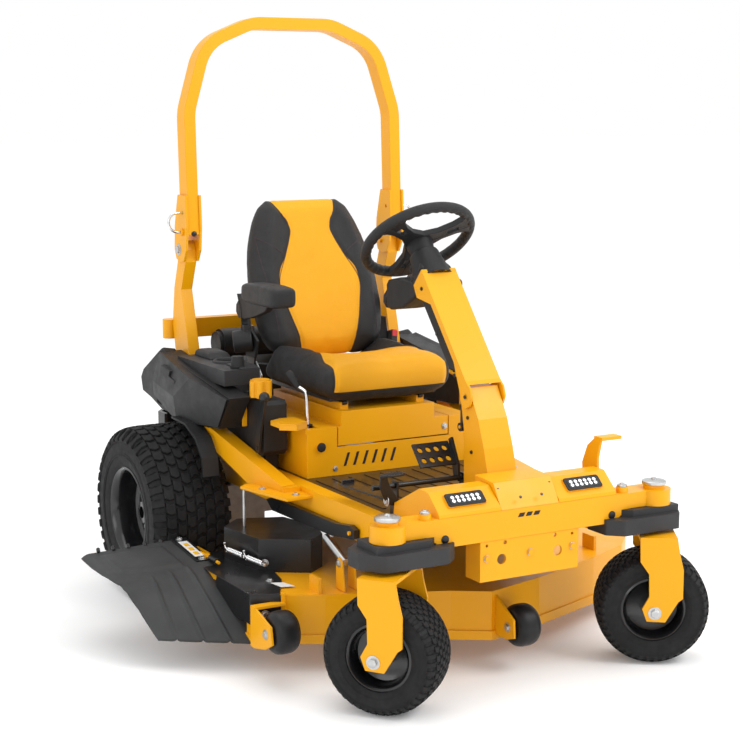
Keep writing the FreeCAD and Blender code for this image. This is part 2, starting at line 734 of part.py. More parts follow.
def steering_wheel():
    ring = DOC.addObject("Part::Torus", "Rim")
    bind(ring, Radius1=dim("wheel_ring"), Radius2=dim("wheel_grip"))
    hub = rod("z", -50, 0, (0, 0), 42, 38)
    shaft = rod("z", -148, -50, (0, 0), dim("shaft_radius"))
    spokes = []
    for angle in (90, 215, 325):
        spoke = box((0, dim("wheel_ring")), (-17, 17), (-12, -2))
        turn = math.radians(angle)
        spokes.append(locate(spoke, 17 * math.sin(turn), -17 * math.cos(turn), -12, angle=angle))
    wheel = join(ring, hub, shaft, *spokes)
    wheel.Label = "steering_wheel"
    place = wheel_point(0) + V(float(dim("shift_x")), float(dim("shift_y")), 0)
    wheel.Placement = FreeCAD.Placement(place, steering_tilt())
    PIECES.append(wheel)


def gas_strut():
    eye = rod("x", -41, -19, (-1040, 700), 13)
    tube = rod("z", 704, 778, (-30, -1040), 8)
    stem = rod("z", 770, 858, (-30, -1040), 5)
    bore = rod("x", -42, -18, (-1040, 700), 5 + dim("running_gap"))
    piece(trim(join(eye, tube, stem), bore), "gas_strut")


# ---------------------------------------------------------------- seat


def seat_platform():
    back = -60
    lower = trim(box((-189, 218), (-562, back), (573, 634)), box((-184, 213), (-557, back - 5), (572, 629)))
    upper = trim(box((-178, 165), (-562, back - 20), (634, dim("platform_z"))),
                 box((-173, 160), (-557, back - 25), (628, dim("platform_z") - 5)))
    hinge = rod("x", 213, 218.5, (dim("tilt_seat_y") + 16, dim("tilt_seat_z")), 14)
    slides = [box((x - 14, x + 14), (-530, -110), (dim("platform_z"), 704)) for x in (-150, 130)]
    piece(join(lower, upper, hinge, *slides), "seat_platform")


def seat_cushion():
    half = dim("seat_half") - 5
    side = [(-540, 708), (-300, 708), (-150, 718), (-70, 730), (-62, 760), (-80, 776), (-165, 782),
            (-260, 822), (-420, 850), (-560, 850), (-592, 820), (-596, 770), (-584, 724)]
    pad = slab("side", -half, half, side)
    pan = box((-190, 190), (-540, -100), (708, 726))
    runners = [box((x - 12, x + 12), (-520, -120), (704.5, 716)) for x in (-150, 130)]
    pins = [rod("x", x, x + 22, (-75, 760), 6) for x in (-262, 240)]
    piece(join(pad, pan, *runners, *pins), "seat_cushion")


def seat_back():
    """The tall back, on two side plates that turn on the cushion's pins; it carries the armrests' studs."""
    side = slab("side", -265, 265, [(-58, 792), (0, 960), (60, 1130), (92, 1270), (82, 1310), (52, 1322),
                                    (20, 1300), (-30, 1180), (-92, 1020), (-142, 900), (-160, 830),
                                    (-140, 800)])
    front = slab("front", -200, 120, mirrored([(180, 785), (236, 830), (258, 960), (256, 1060), (240, 1150),
                                               (216, 1230), (186, 1290), (138, 1325)]))
    plates = []
    for x in (-258, 252):
        plate = slab("side", x, x + 6, [(-98, 745), (-52, 745), (-30, 800), (-20, 930), (-100, 930),
                                        (-112, 800)])
        plates.append(trim(plate, rod("x", x - 1, x + 7, (-75, 760), 6 + dim("running_gap"))))
    studs = [rod("x", x, x + 62, (-75, 962), 8) for x in (-302, 240)]
    piece(join(overlap(side, front), *plates, *studs), "seat_back")


def armrests():
    pad = slab("top", 1002, 1066, [(-356, -426), (-342, -442), (-282, -442), (-268, -426), (-268, -206),
                                  (-282, -190), (-342, -190), (-356, -206)])
    arm = slab("side", -296, -286, [(-250, 1009), (-232, 978), (-120, 937), (-60, 935), (-44, 960),
                                    (-58, 988), (-130, 1009)])
    hub = rod("x", -298, -268, (-75, 962), 15)
    bore = rod("x", -300, -266, (-75, 962), 8 + dim("running_gap"))
    right = piece(trim(join(pad, arm, hub), bore), "armrest_right")
    other_side(right, "armrest_left")


# ---------------------------------------------------------------- controls


def brake_pedal():
    plate = box((-62, 62), (-40, 40), (-3, 3))
    holes = [rod("z", -4, 4, (-42 + 28 * i, y), 9) for i in range(4) for y in (-18, 18)]
    tread = pose(trim(plate, *holes), V(-118, -1022, 622), FreeCAD.Rotation(V(1, 0, 0), 48))
    arm = slab("side", -58, -50, [(-1060, 542), (-1034, 556), (-1004, 660), (-1018, 668), (-1058, 590)])
    shaft = rod("x", -345, -33, (-1052, 552), 8)
    piece(join(tread, arm, shaft), "brake_pedal")


def drive_pedal():
    """The rocking drive pedal, with a toe plate and a heel plate."""
    arm = slab("side", -312, -304, [(-1105, 503), (-1088, 503), (-900, 521), (-860, 512), (-858, 522),
                                    (-900, 534), (-1070, 530), (-1098, 600), (-1115, 598), (-1112, 560)])
    toe = box((-345, -285), (-1128, -1088), (596, 603))
    heel = box((-345, -285), (-905, -855), (528, 535))
    boss = rod("x", -318, -304, (-1093, 520), 14)
    bore = rod("x", -319, -303, (-1093, 520), 6 + dim("running_gap"))
    piece(trim(join(arm, toe, heel, boss), bore), "drive_pedal")


def lift_pedal():
    plate = slab("side", 306, 314, [(-1250, 540), (-1180, 540), (-1176, 585), (-1200, 640), (-1240, 672),
                                    (-1262, 664), (-1248, 610)], holes=[(-1212, 560, 8 + dim("running_gap"))])
    bar = box((306, 378), (-1270, -1232), (664, 673))
    piece(join(plate, bar), "lift_pedal")


def park_lever():
    blade = slab("side", -414, -406, [(-450, 550), (-428, 550), (-430, 600), (-466, 722), (-498, 722),
                                      (-462, 620)],
                 holes=[(-438, 566, 6 + dim("running_gap"))])
    ball = DOC.addObject("Part::Sphere", "Ball")
    bind(ball, Radius=17)
    locate(ball, -410, -486, 735)
    piece(join(blade, ball), "park_lever")


def side_lever():
    rod_low = slant_rod((-267, -506, 606), (-267, -492, 736), 5.5)
    elbow = DOC.addObject("Part::Sphere", "Elbow")
    bind(elbow, Radius=5.5)
    locate(elbow, -267, -492, 736)
    grip_rod = slant_rod((-267, -492, 736), (-281, -466, 752), 5.5)
    grip = slant_rod((-281, -466, 752), (-300, -430, 800), 13)
    piece(join(rod_low, elbow, grip_rod, grip), "side_lever")


def height_dial():
    """The star dial that sets the deck's lowest height."""
    core = rod("z", 722, 778, (0, 0), 28)
    lobes = [rod("z", 722, 774, (26 * math.cos(math.radians(a)), 26 * math.sin(math.radians(a))), 12)
             for a in range(0, 360, 60)]
    stem = rod("z", 715.4, 722, (0, 0), 14)
    piece(join(core, stem, *lobes), "height_dial", -380, -400)


def console_knob():
    skirt = rod("z", 800.4, 808, (-405, -282), 24)
    cap = rod("z", 808, 838, (-405, -282), 22, 19)
    piece(join(skirt, cap), "console_knob")


# ---------------------------------------------------------------- mowing deck

DECK_OUTLINE = [(-645, -872), (-523, -938), (-455, -973), (-114, -1116), (-14, -1181), (192, -1127),
                (470, -1028), (640, -950), (728, -860), (728, -520), (640, -395), (-560, -395), (-645, -450)]


def deck_shell():
    low = dim("deck_low")
    top = dim("deck_top")
    sheet = dim("sheet_metal")
    outer = slab("top", low, top, DECK_OUTLINE)
    inner = slab("top", low - 1, top - sheet, inset(DECK_OUTLINE, 5))
    lip = slab("top", low, low + 28, inset(DECK_OUTLINE, -5))
    lip_inner = slab("top", low - 1, low + 29, inset(DECK_OUTLINE, 1))
    discharge = box((-700, -600), (-840, -470), (low - 1, 215))
    middle = dim("deck_middle")
    shafts = []
    housings = []
    for x, y in ((middle - dim("blade_x"), dim("side_blade_y")), (middle, dim("middle_blade_y")),
                 (middle + dim("blade_x"), dim("side_blade_y"))):
        shafts.append(rod("z", 150, 300, (x, y), dim("spindle_radius") + dim("running_gap")))
        housings.append(rod("z", 170, top + 12, (x, y), 45, 32))
    side_bracket = slab("side", -664, -657, [(-930, 92), (-905, 92), (-905, 214), (-922, 214), (-1034, 182),
                                             (-1044, 132), (-1000, 108)])
    side_tie = box((-664, -565), (-935, -905), (206, 214))
    side_axle = rod("x", -668, -572, (-1006, 154), 8)
    nose_bracket = slab("side", 0, 7, [(-1140, 100), (-1140, 228), (-1160, 228), (-1272, 165), (-1276, 112),
                                       (-1240, 100)][::-1])
    nose_axle = rod("x", -4, 92, (-1242, 138), 8)
    hanger = [box((x, x + 10), (y, y + 60), (top, top + 46)) for x in (-470, 520) for y in (-960, -480)]
    hinge_x = dim("chute_hinge_x")
    hinge_z = dim("chute_hinge_z")
    hinge_seat = box((-640, -560), (-450, -298), (228, 234))
    hinge_pin = rod("y", -575, -290, (hinge_x, hinge_z), 5)
    hinge_lugs = [box((hinge_x - 7, hinge_x + 7), (y, y + 20), (230, hinge_z + 7)) for y in (-495, -385)]
    shell = trim(join(trim(outer, inner), trim(lip, lip_inner), *housings), discharge, *shafts)
    piece(join(shell, side_bracket, side_tie, side_axle, nose_bracket, nose_axle, hinge_seat, hinge_pin,
               *hinge_lugs, *hanger), "deck_shell")


def belt_cover():
    outline = [(-520, -662), (-385, -748), (-320, -700), (-290, -600), (-330, -450), (-470, -400),
               (-548, -475)]
    base = dim("deck_top")
    outer = slab("top", base, 336, outline)
    inner = slab("top", base - 1, 331, inset(outline, 5))
    piece(trim(outer, inner), "belt_cover")


def blades():
    middle = dim("deck_middle")
    spots = (("right", middle - dim("blade_x"), dim("side_blade_y"), 20),
             ("middle", middle, dim("middle_blade_y"), 75),
             ("left", middle + dim("blade_x"), dim("side_blade_y"), -35))
    half = dim("blade_length") / 2
    for name, x, y, turn in spots:
        bar = slab("top", 112, 118, [(-half, -28), (half - 60, -28), (half, -18), (half, 28), (60 - half, 28),
                                     (-half, 18)])
        shaft = rod("z", 106, 262, (0, 0), dim("spindle_radius"))
        nut = rod("z", 98, 112, (0, 0), 17)
        hub = rod("z", 118, 150, (0, 0), 24)
        pulley = trim(rod("z", 262, 286, (0, 0), 62), groove())
        piece(join(bar, shaft, nut, hub, pulley), f"blade_{name}", x, y, angle=turn)


def groove():
    """The belt's V groove round a pulley."""
    ring = DOC.addObject("Part::Torus", "Groove")
    bind(ring, Radius1=64, Radius2=8)
    return locate(ring, 0, 0, 274)


def rollers():
    radius = dim("roller_radius")
    wide = dim("roller_width")
    half = wide / 2
    bore = 8 + dim("running_gap")
    outline = mirrored([(half, bore), (half, 40), (half - 4, 50), (half - 16, radius - 4),
                        (half - 30, radius)])
    for name, x, y, z in (("right", -613, -1006, 154), ("front", 50, -1242, 138)):
        piece(turned(outline), f"scalp_roller_{name}", x, y, z)


def chute():
    """The ribbed discharge chute, on two knuckles that turn on the deck's hinge pin."""
    hinge_x = dim("chute_hinge_x")
    hinge_z = dim("chute_hinge_z")
    inner = [(-302, 240), (-302, 246), (-560, 246), (-640, 222), (-903, 98), (-903, 88), (-893, 88),
             (-636, 213), (-556, 240)]
    outer = [(-302, 240), (-302, 246), (-580, 236), (-630, 214), (-676, 98), (-676, 88), (-666, 88),
             (-622, 206), (-576, 230)]
    shell = chute_skin(hinge_x - 3, -960, inner, outer)
    edge = slab("top", 60, 300, [(-956, -280), (-956, -290), (-946, -450), (-930, -600), (-915, -630),
                                 (-885, -665), (-846, -722), (-835, -950), (-1000, -950), (-1000, -280)])
    deck_room = box((-652, -600), (-950, -400), (60, 238))
    ribs = []
    for x in (-700, -765, -830):
        crest = chute_section(inner, outer, x)[1:5]
        raised = [(y, z + 4) for y, z in crest]
        sunk = [(y, z - 2) for y, z in reversed(crest)]
        ribs.append(slab("side", x - 5, x + 5, raised + sunk))
    knuckles = [rod("y", y, y + 50, (hinge_x, hinge_z), 9) for y in (-352, -560)]
    leaves = [box((hinge_x - 45, hinge_x), (y, y + 50), (243, hinge_z - 2)) for y in (-352, -560)]
    bores = [rod("y", y - 1, y + 51, (hinge_x, hinge_z), 5 + dim("running_gap")) for y in (-352, -560)]
    lug_room = [box((hinge_x - 22, hinge_x + 8), (y - 2, y + 22), (200, 280)) for y in (-495, -385)]
    piece(trim(join(trim(join(shell, *ribs), edge, deck_room, *lug_room), *knuckles, *leaves), *bores),
          "discharge_chute")


def chute_section(inner, outer, x):
    share = (x + 615) / (-960 + 615)
    return [(a[0] + (b[0] - a[0]) * share, a[1] + (b[1] - a[1]) * share) for a, b in zip(inner, outer)]


def chute_skin(near, far, inner, outer):
    """A ruled skin between the section at the hinge and the section at the open side."""
    body = new_body("ChuteSkin")
    first = sketch_in(body, "side", far, outer)
    last = sketch_in(body, "side", near, inner)
    loft = body.newObject("PartDesign::AdditiveLoft", "Loft")
    loft.Profile = first
    loft.Sections = [last]
    loft.Ruled = True
    return body


def lift_arm():
    side = [(-1014, 396), (-930, 386), (-880, 378), (-480, 370), (-440, 398), (-480, 412), (-900, 420),
            (-985, 432), (-1016, 424)]
    arm = slab("side", -384, -366, side, holes=[(-992, 411, 6 + dim("running_gap"))])
    piece(arm, "lift_arm")


def check():
    for obj in DOC.Objects:
        if "Invalid" in obj.State or "Error" in obj.State:
            raise RuntimeError(f"{obj.Name} ({obj.Label}) failed: {obj.State}")
    bad = [obj.Label for obj in PIECES
           if obj.Shape.isNull() or not obj.Shape.isValid() or not obj.Shape.Solids]
    if bad:
        raise RuntimeError(f"no valid solid: {bad}")


def main():
    fill_sheet()
    builders = (front_beam, rails, tow_plate, floor_pan, seat_box, cowls, column_base, fenders,
                fender_decks, struts, roll_bar_posts, rear_crossbar, rear_bumper, engine, air_cleaner, tank,
                transaxles, console, gear_covers, steered_wheels, driven_wheels, hoop, lock_pins,
                steering_column, steering_wheel, gas_strut, seat_platform, seat_cushion, seat_back,
                armrests, brake_pedal, drive_pedal, lift_pedal, park_lever, side_lever, height_dial,
                console_knob, deck_shell, belt_cover, blades, rollers, chute, lift_arm)
    for build in builders:
        build()
    DOC.recompute()
    check()
    os.makedirs("parts", exist_ok=True)
    for obj in PIECES:
        obj.Shape.exportStep(f"parts/{obj.Label}.step")
        print(f"{obj.Label:24s} solids {len(obj.Shape.Solids)} volume {obj.Shape.Volume / 1000:10.1f} cm3")


main()
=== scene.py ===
import math

import bmesh
import bpy
from mathutils import Matrix, Vector
from mathutils.bvhtree import BVHTree


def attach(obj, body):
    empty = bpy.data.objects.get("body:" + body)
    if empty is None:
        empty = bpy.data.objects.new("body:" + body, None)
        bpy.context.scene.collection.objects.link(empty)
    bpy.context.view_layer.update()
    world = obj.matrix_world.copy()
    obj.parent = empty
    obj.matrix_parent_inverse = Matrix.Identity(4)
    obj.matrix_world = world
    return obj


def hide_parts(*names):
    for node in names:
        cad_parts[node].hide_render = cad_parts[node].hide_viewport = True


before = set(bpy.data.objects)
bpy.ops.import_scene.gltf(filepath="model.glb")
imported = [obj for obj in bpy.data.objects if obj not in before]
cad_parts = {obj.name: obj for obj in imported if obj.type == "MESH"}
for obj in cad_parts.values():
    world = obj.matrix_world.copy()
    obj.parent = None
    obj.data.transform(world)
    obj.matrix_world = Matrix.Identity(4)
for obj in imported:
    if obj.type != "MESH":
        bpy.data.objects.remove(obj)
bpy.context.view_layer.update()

# Sizes below are millimetres in the machine's own frame: X to the operator's left, Y to the rear,
# rear axle over Y = 0.  at() turns them into metres in the row's frame.
SHIFT_X = 111
SHIFT_Y = 473
MM = 0.001
TAU = 2 * math.pi
SIDES = ((-1, "right"), (1, "left"))
FLOOR = 60          # half the floor's side, in metres
SOFT_GLOSS = 0.35   # specular level of plastic and vinyl


def at(x, y, z):
    return Vector(((x + SHIFT_X) * MM, (y + SHIFT_Y) * MM, z * MM))


def machine(point):
    """A point in the row's metres as millimetres of the machine's frame."""
    return point / MM - Vector((SHIFT_X, SHIFT_Y, 0))


# ---- camera

def add_camera():
    data = bpy.data.cameras.new("camera")
    data.sensor_width = 36
    data.lens = 82.13
    data.clip_end = 200
    camera = bpy.data.objects.new("camera", data)
    camera.location = at(-2677.06, -5158.90, 1645.77)
    camera.rotation_euler = (math.radians(90 - 9.03), math.radians(-0.05), math.radians(-29.51))
    bpy.context.collection.objects.link(camera)
    bpy.context.scene.camera = camera


add_camera()


# ---- materials

class Look:
    """A material being built, with short ways to add nodes that read the object's own coordinates."""

    def __init__(self, name):
        self.material = bpy.data.materials.new(name)
        self.material.use_nodes = True
        self.tree = self.material.node_tree
        self.coords = self.node("ShaderNodeTexCoord").outputs["Object"]

    def feed(self, socket, value):
        """Give an input a number, a colour or another node's output."""
        if isinstance(value, bpy.types.NodeSocket):
            self.tree.links.new(value, socket)
        else:
            socket.default_value = value

    def node(self, kind, inputs=(), **values):
        """Add a node; inputs are fed in order, values by the name of an input or a property."""
        node = self.tree.nodes.new(kind)
        for key, value in values.items():
            if key in node.inputs:
                self.feed(node.inputs[key], value)
            else:
                setattr(node, key, value)
        for socket, value in zip(node.inputs, inputs):
            self.feed(socket, value)
        return node

    def math(self, operation, *inputs):
        return self.node("ShaderNodeMath", inputs, operation=operation).outputs[0]

    def noise(self, scale, detail=3.0, rough=0.5, coords=None):
        return self.node("ShaderNodeTexNoise", Vector=coords or self.coords, Scale=scale, Detail=detail,
                         Roughness=rough).outputs["Fac"]

    def spread(self, value, low, high, out_low=0.0, out_high=1.0):
        return self.node("ShaderNodeMapRange", (value, low, high, out_low, out_high)).outputs[0]

    def patches(self, scale, detail, low=0.0, high=1.0):
        """Noise spread over a range, for slow changes of tone or roughness."""
        return self.spread(self.noise(scale, detail), 0.3, 0.7, low, high)

    def blend(self, factor, first, second):
        node = self.node("ShaderNodeMix", data_type="RGBA")
        for i, value in ((0, factor), (6, first), (7, second)):
            self.feed(node.inputs[i], (*value, 1) if isinstance(value, tuple) else value)
        return node.outputs[2]

    def finish(self, height=None, depth=0.0, rounding=0.0, **values):
        """Set the shader's inputs, where _ stands for a space, and its normal."""
        shader = self.tree.nodes["Principled BSDF"]
        for key, value in values.items():
            self.feed(shader.inputs[key.replace("_", " ")], value)
        if height:
            bump = self.node("ShaderNodeBump", Strength=1.0, Distance=depth, Height=height)
            if rounding:
                edges = self.node("ShaderNodeBevel", Radius=rounding, samples=4)
                self.feed(bump.inputs["Normal"], edges.outputs[0])
            self.feed(shader.inputs["Normal"], bump.outputs[0])
        return self.material


def paint(name, color, shade, rough=0.36, rounding=0.0025, coat=0.08, gloss=0.32):
    """Powder coat: soft orange peel, a slow change of tone and dust in the rough patches."""
    look = Look(name)
    return look.finish(look.noise(420.0, 2.0), 0.0002, rounding,
                       Base_Color=look.blend(look.patches(2.2, 2.0), color, shade),
                       Roughness=look.patches(14.0, 5.0, rough - 0.05, rough + 0.08),
                       Coat_Weight=coat, Coat_Roughness=0.18, Specular_IOR_Level=gloss)


def plastic(name, color, shade, rough=0.55, grain=700.0):
    """Moulded plastic with a fine spark-eroded grain."""
    look = Look(name)
    cells = look.node("ShaderNodeTexVoronoi", Vector=look.coords, Scale=grain)
    return look.finish(cells.outputs["Distance"], 0.00022, 0.002,
                       Base_Color=look.blend(look.patches(5.0, 4.0), color, shade),
                       Roughness=look.patches(22.0, 5.0, rough - 0.07, rough + 0.08),
                       Specular_IOR_Level=SOFT_GLOSS)


def metal(name, color, rough, brushed=220.0, stretch=(1, 1, 14)):
    """Plated or ground steel with fine directional marks and faint stains."""
    look = Look(name)
    stretched = look.node("ShaderNodeMapping", Vector=look.coords, Scale=stretch).outputs[0]
    marks = look.noise(brushed, coords=stretched)
    stains = look.spread(look.noise(35.0, 5.0), 0.45, 0.8, 0.0, 0.6)
    tone = look.blend(stains, color, tuple(0.6 * part for part in color))
    return look.finish(marks, 0.0001, 0.001, Base_Color=tone, Metallic=1.0,
                       Roughness=look.spread(marks, 0.3, 0.7, rough - 0.06, rough + 0.12))


def rubber(name, color, rough=0.75):
    """Tyre rubber: fine mould skin, paler dust in random patches."""
    look = Look(name)
    dust = look.spread(look.noise(9.0, 6.0, 0.65), 0.42, 0.75, 0.0, 0.55)
    pale = tuple(2.1 * part + 0.004 for part in color)
    return look.finish(look.noise(900.0, 2.0), 0.0003, Base_Color=look.blend(dust, color, pale),
                       Roughness=look.patches(60.0, 4.0, rough - 0.08, rough + 0.08), Specular_IOR_Level=0.3)


def curve_value(look, position, points):
    """A value read from (position, value) points, joined smoothly; both in metres."""
    low = points[0][0]
    high = points[-1][0]
    top = max(value for _, value in points)
    node = look.node("ShaderNodeFloatCurve", Value=look.spread(position, low, high))
    curve = node.mapping.curves[0]
    curve.points[0].location = (0.0, points[0][1] / top)
    curve.points[1].location = (1.0, points[-1][1] / top)
    for where, value in points[1:-1]:
        curve.points.new((where - low) / (high - low), value / top)
    node.mapping.update()
    return look.math("MULTIPLY", node.outputs[0], top)


def leather(look, color, smoothest, roughest):
    """The roughness and the creased grain that both vinyls share."""
    cells = look.node("ShaderNodeTexVoronoi", Vector=look.coords, Scale=330.0, feature="DISTANCE_TO_EDGE")
    creases = look.spread(cells.outputs["Distance"], 0.0, 0.25)
    height = look.math("ADD", creases, look.math("MULTIPLY", look.noise(60.0, 4.0), 0.8))
    return look.finish(height, 0.0006, Base_Color=color,
                       Roughness=look.patches(30.0, 4.0, smoothest, roughest), Specular_IOR_Level=SOFT_GLOSS)


def two_tone_vinyl(name, along, points, limit):
    """Upholstery vinyl: black bolsters and a yellow centre inside the sewn line |x| = width(along)."""
    look = Look(name)
    split = look.node("ShaderNodeSeparateXYZ", (look.coords,)).outputs
    x = look.math("ABSOLUTE", look.math("SUBTRACT", split[0], SHIFT_X * MM))
    width = curve_value(look, split["XYZ".index(along)], points)
    inside = look.spread(look.math("SUBTRACT", width, x), -0.0004, 0.0004)
    soft = look.patches(4.0, 4.0)
    yellow = look.blend(soft, (0.87, 0.405, 0.002), (0.83, 0.375, 0.002))
    black = look.blend(soft, (0.013, 0.013, 0.014), (0.021, 0.021, 0.022))
    mask = look.math("MULTIPLY", inside, limit(look, split))
    return leather(look, look.blend(mask, black, yellow), 0.42, 0.56)


def vinyl(name, color, shade):
    look = Look(name)
    return leather(look, look.blend(look.patches(6.0, 4.0), color, shade), 0.4, 0.55)


def plain(name, color, rough, emission=0.0):
    look = Look(name)
    tone = look.blend(look.noise(120.0), color, tuple(0.85 * part for part in color))
    glow = {"Emission_Color": (*color, 1), "Emission_Strength": emission} if emission else {}
    return look.finish(Base_Color=tone, Roughness=rough, **glow)


YELLOW = paint("yellow_powder_coat", (0.85, 0.385, 0.002), (0.83, 0.365, 0.002), gloss=0.26)
BLACK_PAINT = paint("black_powder_coat", (0.008, 0.008, 0.009), (0.013, 0.013, 0.014), rough=0.32, coat=0.2)
GLOSS_BLACK = paint("gloss_black_rim", (0.005, 0.005, 0.006), (0.008, 0.008, 0.009), rough=0.16, coat=0.7)
BLACK_PLASTIC = plastic("black_moulding", (0.011, 0.011, 0.012), (0.018, 0.018, 0.019), rough=0.5)
GREY_PLASTIC = plastic("grey_moulding", (0.024, 0.024, 0.026), (0.034, 0.034, 0.036), rough=0.55)
CHUTE_RUBBER = plastic("chute_moulding", (0.030, 0.031, 0.032), (0.046, 0.047, 0.048), rough=0.6, grain=420.0)
YELLOW_PLASTIC = plastic("yellow_moulding", (0.85, 0.39, 0.002), (0.81, 0.36, 0.002), rough=0.42)
TYRE = rubber("tyre_rubber", (0.009, 0.009, 0.0095))
ROLLER = rubber("roller_rubber", (0.008, 0.008, 0.009), rough=0.42)
ZINC = metal("zinc_plate", (0.56, 0.57, 0.57), 0.3)
CHROME = metal("chrome_plate", (0.82, 0.82, 0.83), 0.1, brushed=60.0)
BLADE = metal("ground_steel", (0.30, 0.30, 0.31), 0.4)
CASTING = metal("cast_aluminium", (0.42, 0.42, 0.43), 0.5, brushed=500.0, stretch=(1, 1, 1))
ENGINE = paint("engine_black", (0.010, 0.010, 0.011), (0.017, 0.017, 0.018), rough=0.5, coat=0.0)
BLACK_VINYL = vinyl("black_vinyl", (0.012, 0.012, 0.013), (0.020, 0.020, 0.021))
THREAD = plain("seam_thread", (0.05, 0.02, 0.03), 0.6)
RED = plain("buckle_red", (0.7, 0.015, 0.02), 0.35)
LABEL = plain("blank_label", (0.85, 0.85, 0.83), 0.45)
STRIPE = plain("label_stripe", (0.9, 0.5, 0.02), 0.45)
LENS = plain("lamp_lens", (0.9, 0.92, 0.95), 0.12, emission=0.35)
SLOTS = {material.name: slot for slot, materials in {
    "yellow_paint": [YELLOW], "black_paint": [BLACK_PAINT, GLOSS_BLACK], "zinc": [ZINC],
    "chrome": [CHROME, LENS], "tyre": [TYRE], "seat_vinyl": [BLACK_VINYL, THREAD],
    "black_plastic": [BLACK_PLASTIC, GREY_PLASTIC, CHUTE_RUBBER, ROLLER, RED, LABEL, STRIPE],
}.items() for material in materials}


def dress(material, *nodes):
    for node in nodes:
        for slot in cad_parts[node].material_slots:
            slot.material = material


def both(*names):
    return [f"{name}_{side}" for name in names for side in ("right", "left")]


dress(YELLOW, "front_beam", "tow_plate", "seat_box", "cowl_middle", "column_base", "rear_crossbar",
      "roll_bar_hoop", "steering_column", "seat_platform", "deck_shell", "lift_pedal",
      *both("rail", "cowl", "fender_deck", "strut", "roll_bar_post", "fork"))
dress(BLACK_PAINT, "floor_pan", "rear_bumper", "brake_pedal", "drive_pedal", "lift_arm", "belt_cover",
      "park_lever")
dress(BLACK_PLASTIC, "air_cleaner", "fuel_tank", "console_knob", *both("fender"))
dress(GREY_PLASTIC, "console", *both("gear_cover"))
dress(CHUTE_RUBBER, "discharge_chute")
dress(YELLOW_PLASTIC, "height_dial")
dress(ENGINE, "engine")
dress(CASTING, "transaxles")
dress(ZINC, *both("lock_pin"))
dress(CHROME, "side_lever")
dress(BLACK_PAINT, "gas_strut")
dress(BLADE, "blade_right", "blade_middle", "blade_left")


# ---- mesh building

PLANES = {"side": lambda a, b, c: (c, a, b), "front": lambda a, b, c: (a, c, b),
          "top": lambda a, b, c: (a, b, c)}


def emit(name, bm, material, body, slot=None, bevel=0.0, subdivide=0, smooth_angle=38.0):
    """Turn a bmesh drawn in millimetres of the machine frame into a piece that rides on a body."""
    slot = slot or SLOTS[material.name]
    bmesh.ops.recalc_face_normals(bm, faces=bm.faces)
    for vertex in bm.verts:
        vertex.co = at(*vertex.co)
    mesh = bpy.data.meshes.new(name)
    bm.to_mesh(mesh)
    bm.free()
    piece = bpy.data.objects.new(name, mesh)
    bpy.context.collection.objects.link(piece)
    mesh.materials.append(material)
    mesh.polygons.foreach_set("use_smooth", [True] * len(mesh.polygons))
    mesh.set_sharp_from_angle(angle=math.radians(smooth_angle))
    if bevel:
        modifier = piece.modifiers.new("edges", "BEVEL")
        modifier.width = bevel * MM
        modifier.segments = 3
        modifier.limit_method = "ANGLE"
        modifier.angle_limit = math.radians(35)
        modifier.harden_normals = True
    if subdivide:
        subdivided(piece, subdivide)
    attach(piece, body)
    return piece


def subdivided(piece, levels):
    modifier = piece.modifiers.new("smooth", "SUBSURF")
    modifier.levels = levels
    modifier.render_levels = levels


def solid(name, material, body, *shapes, slot=None, **looks):
    """A piece made of shapes, each given as its function and what follows the bmesh in a call of it."""
    bm = bmesh.new()
    for shape, *values in shapes:
        shape(bm, *values)
    return emit(name, bm, material, body, slot, **looks)


def turn_to(axis):
    """A rotation that carries +Z to an axis."""
    return Vector((0, 0, 1)).rotation_difference(Vector(axis)).to_matrix().to_4x4()


def join(bm, first, second):
    """Faces between two rings of points, either of which may be a single point."""
    count = max(len(first), len(second))
    for i in range(count if count > 1 else 0):
        j = (i + 1) % count
        corners = (first[i % len(first)], first[j % len(first)], second[j % len(second)],
                   second[i % len(second)])
        bm.faces.new(tuple(dict.fromkeys(corners)))


def skin(bm, rings, closed=False, cap=False):
    """Faces along a row of rings, joined round to the first ring or capped at both ends."""
    for first, second in zip(rings, rings[1:]):
        join(bm, first, second)
    if closed:
        join(bm, rings[-1], rings[0])
    if cap:
        bm.faces.new(rings[0][::-1])
        bm.faces.new(rings[-1])


def circle(bm, place, radius, along, segments):
    """A ring of points about the Z axis of a place."""
    turns = [TAU * i / segments for i in range(segments)]
    return [bm.verts.new(place @ Vector((radius * math.cos(turn), radius * math.sin(turn), along)))
            for turn in turns]


def lathe(bm, profile, centre, axis=(0, 0, 1), segments=32, closed=False):
    """Spin (distance along axis, radius) points about an axis through a centre."""
    place = Matrix.Translation(Vector(centre)) @ turn_to(axis)
    skin(bm, [circle(bm, place, radius, along, segments if radius > 1e-6 else 1)
              for along, radius in profile], closed)


def ring(bm, profile, centre, axis, segments):
    """A lathed shape whose profile closes on itself."""
    lathe(bm, profile, centre, axis, segments, closed=True)


def prism(bm, outline, low, high, plane="side", place=Matrix.Identity(4)):
    """An outline in a plane (side = y, z; front = x, z; top = x, y), drawn out between two positions."""
    rows = [[bm.verts.new(place @ Vector(PLANES[plane](a, b, c))) for a, b in outline] for c in (low, high)]
    bm.faces.new(rows[0])
    bm.faces.new(rows[1][::-1])
    join(bm, rows[1], rows[0])


def block(bm, x, y, z, place=Matrix.Identity(4)):
    prism(bm, [(x[0], y[0]), (x[1], y[0]), (x[1], y[1]), (x[0], y[1])], *z, "top", place)


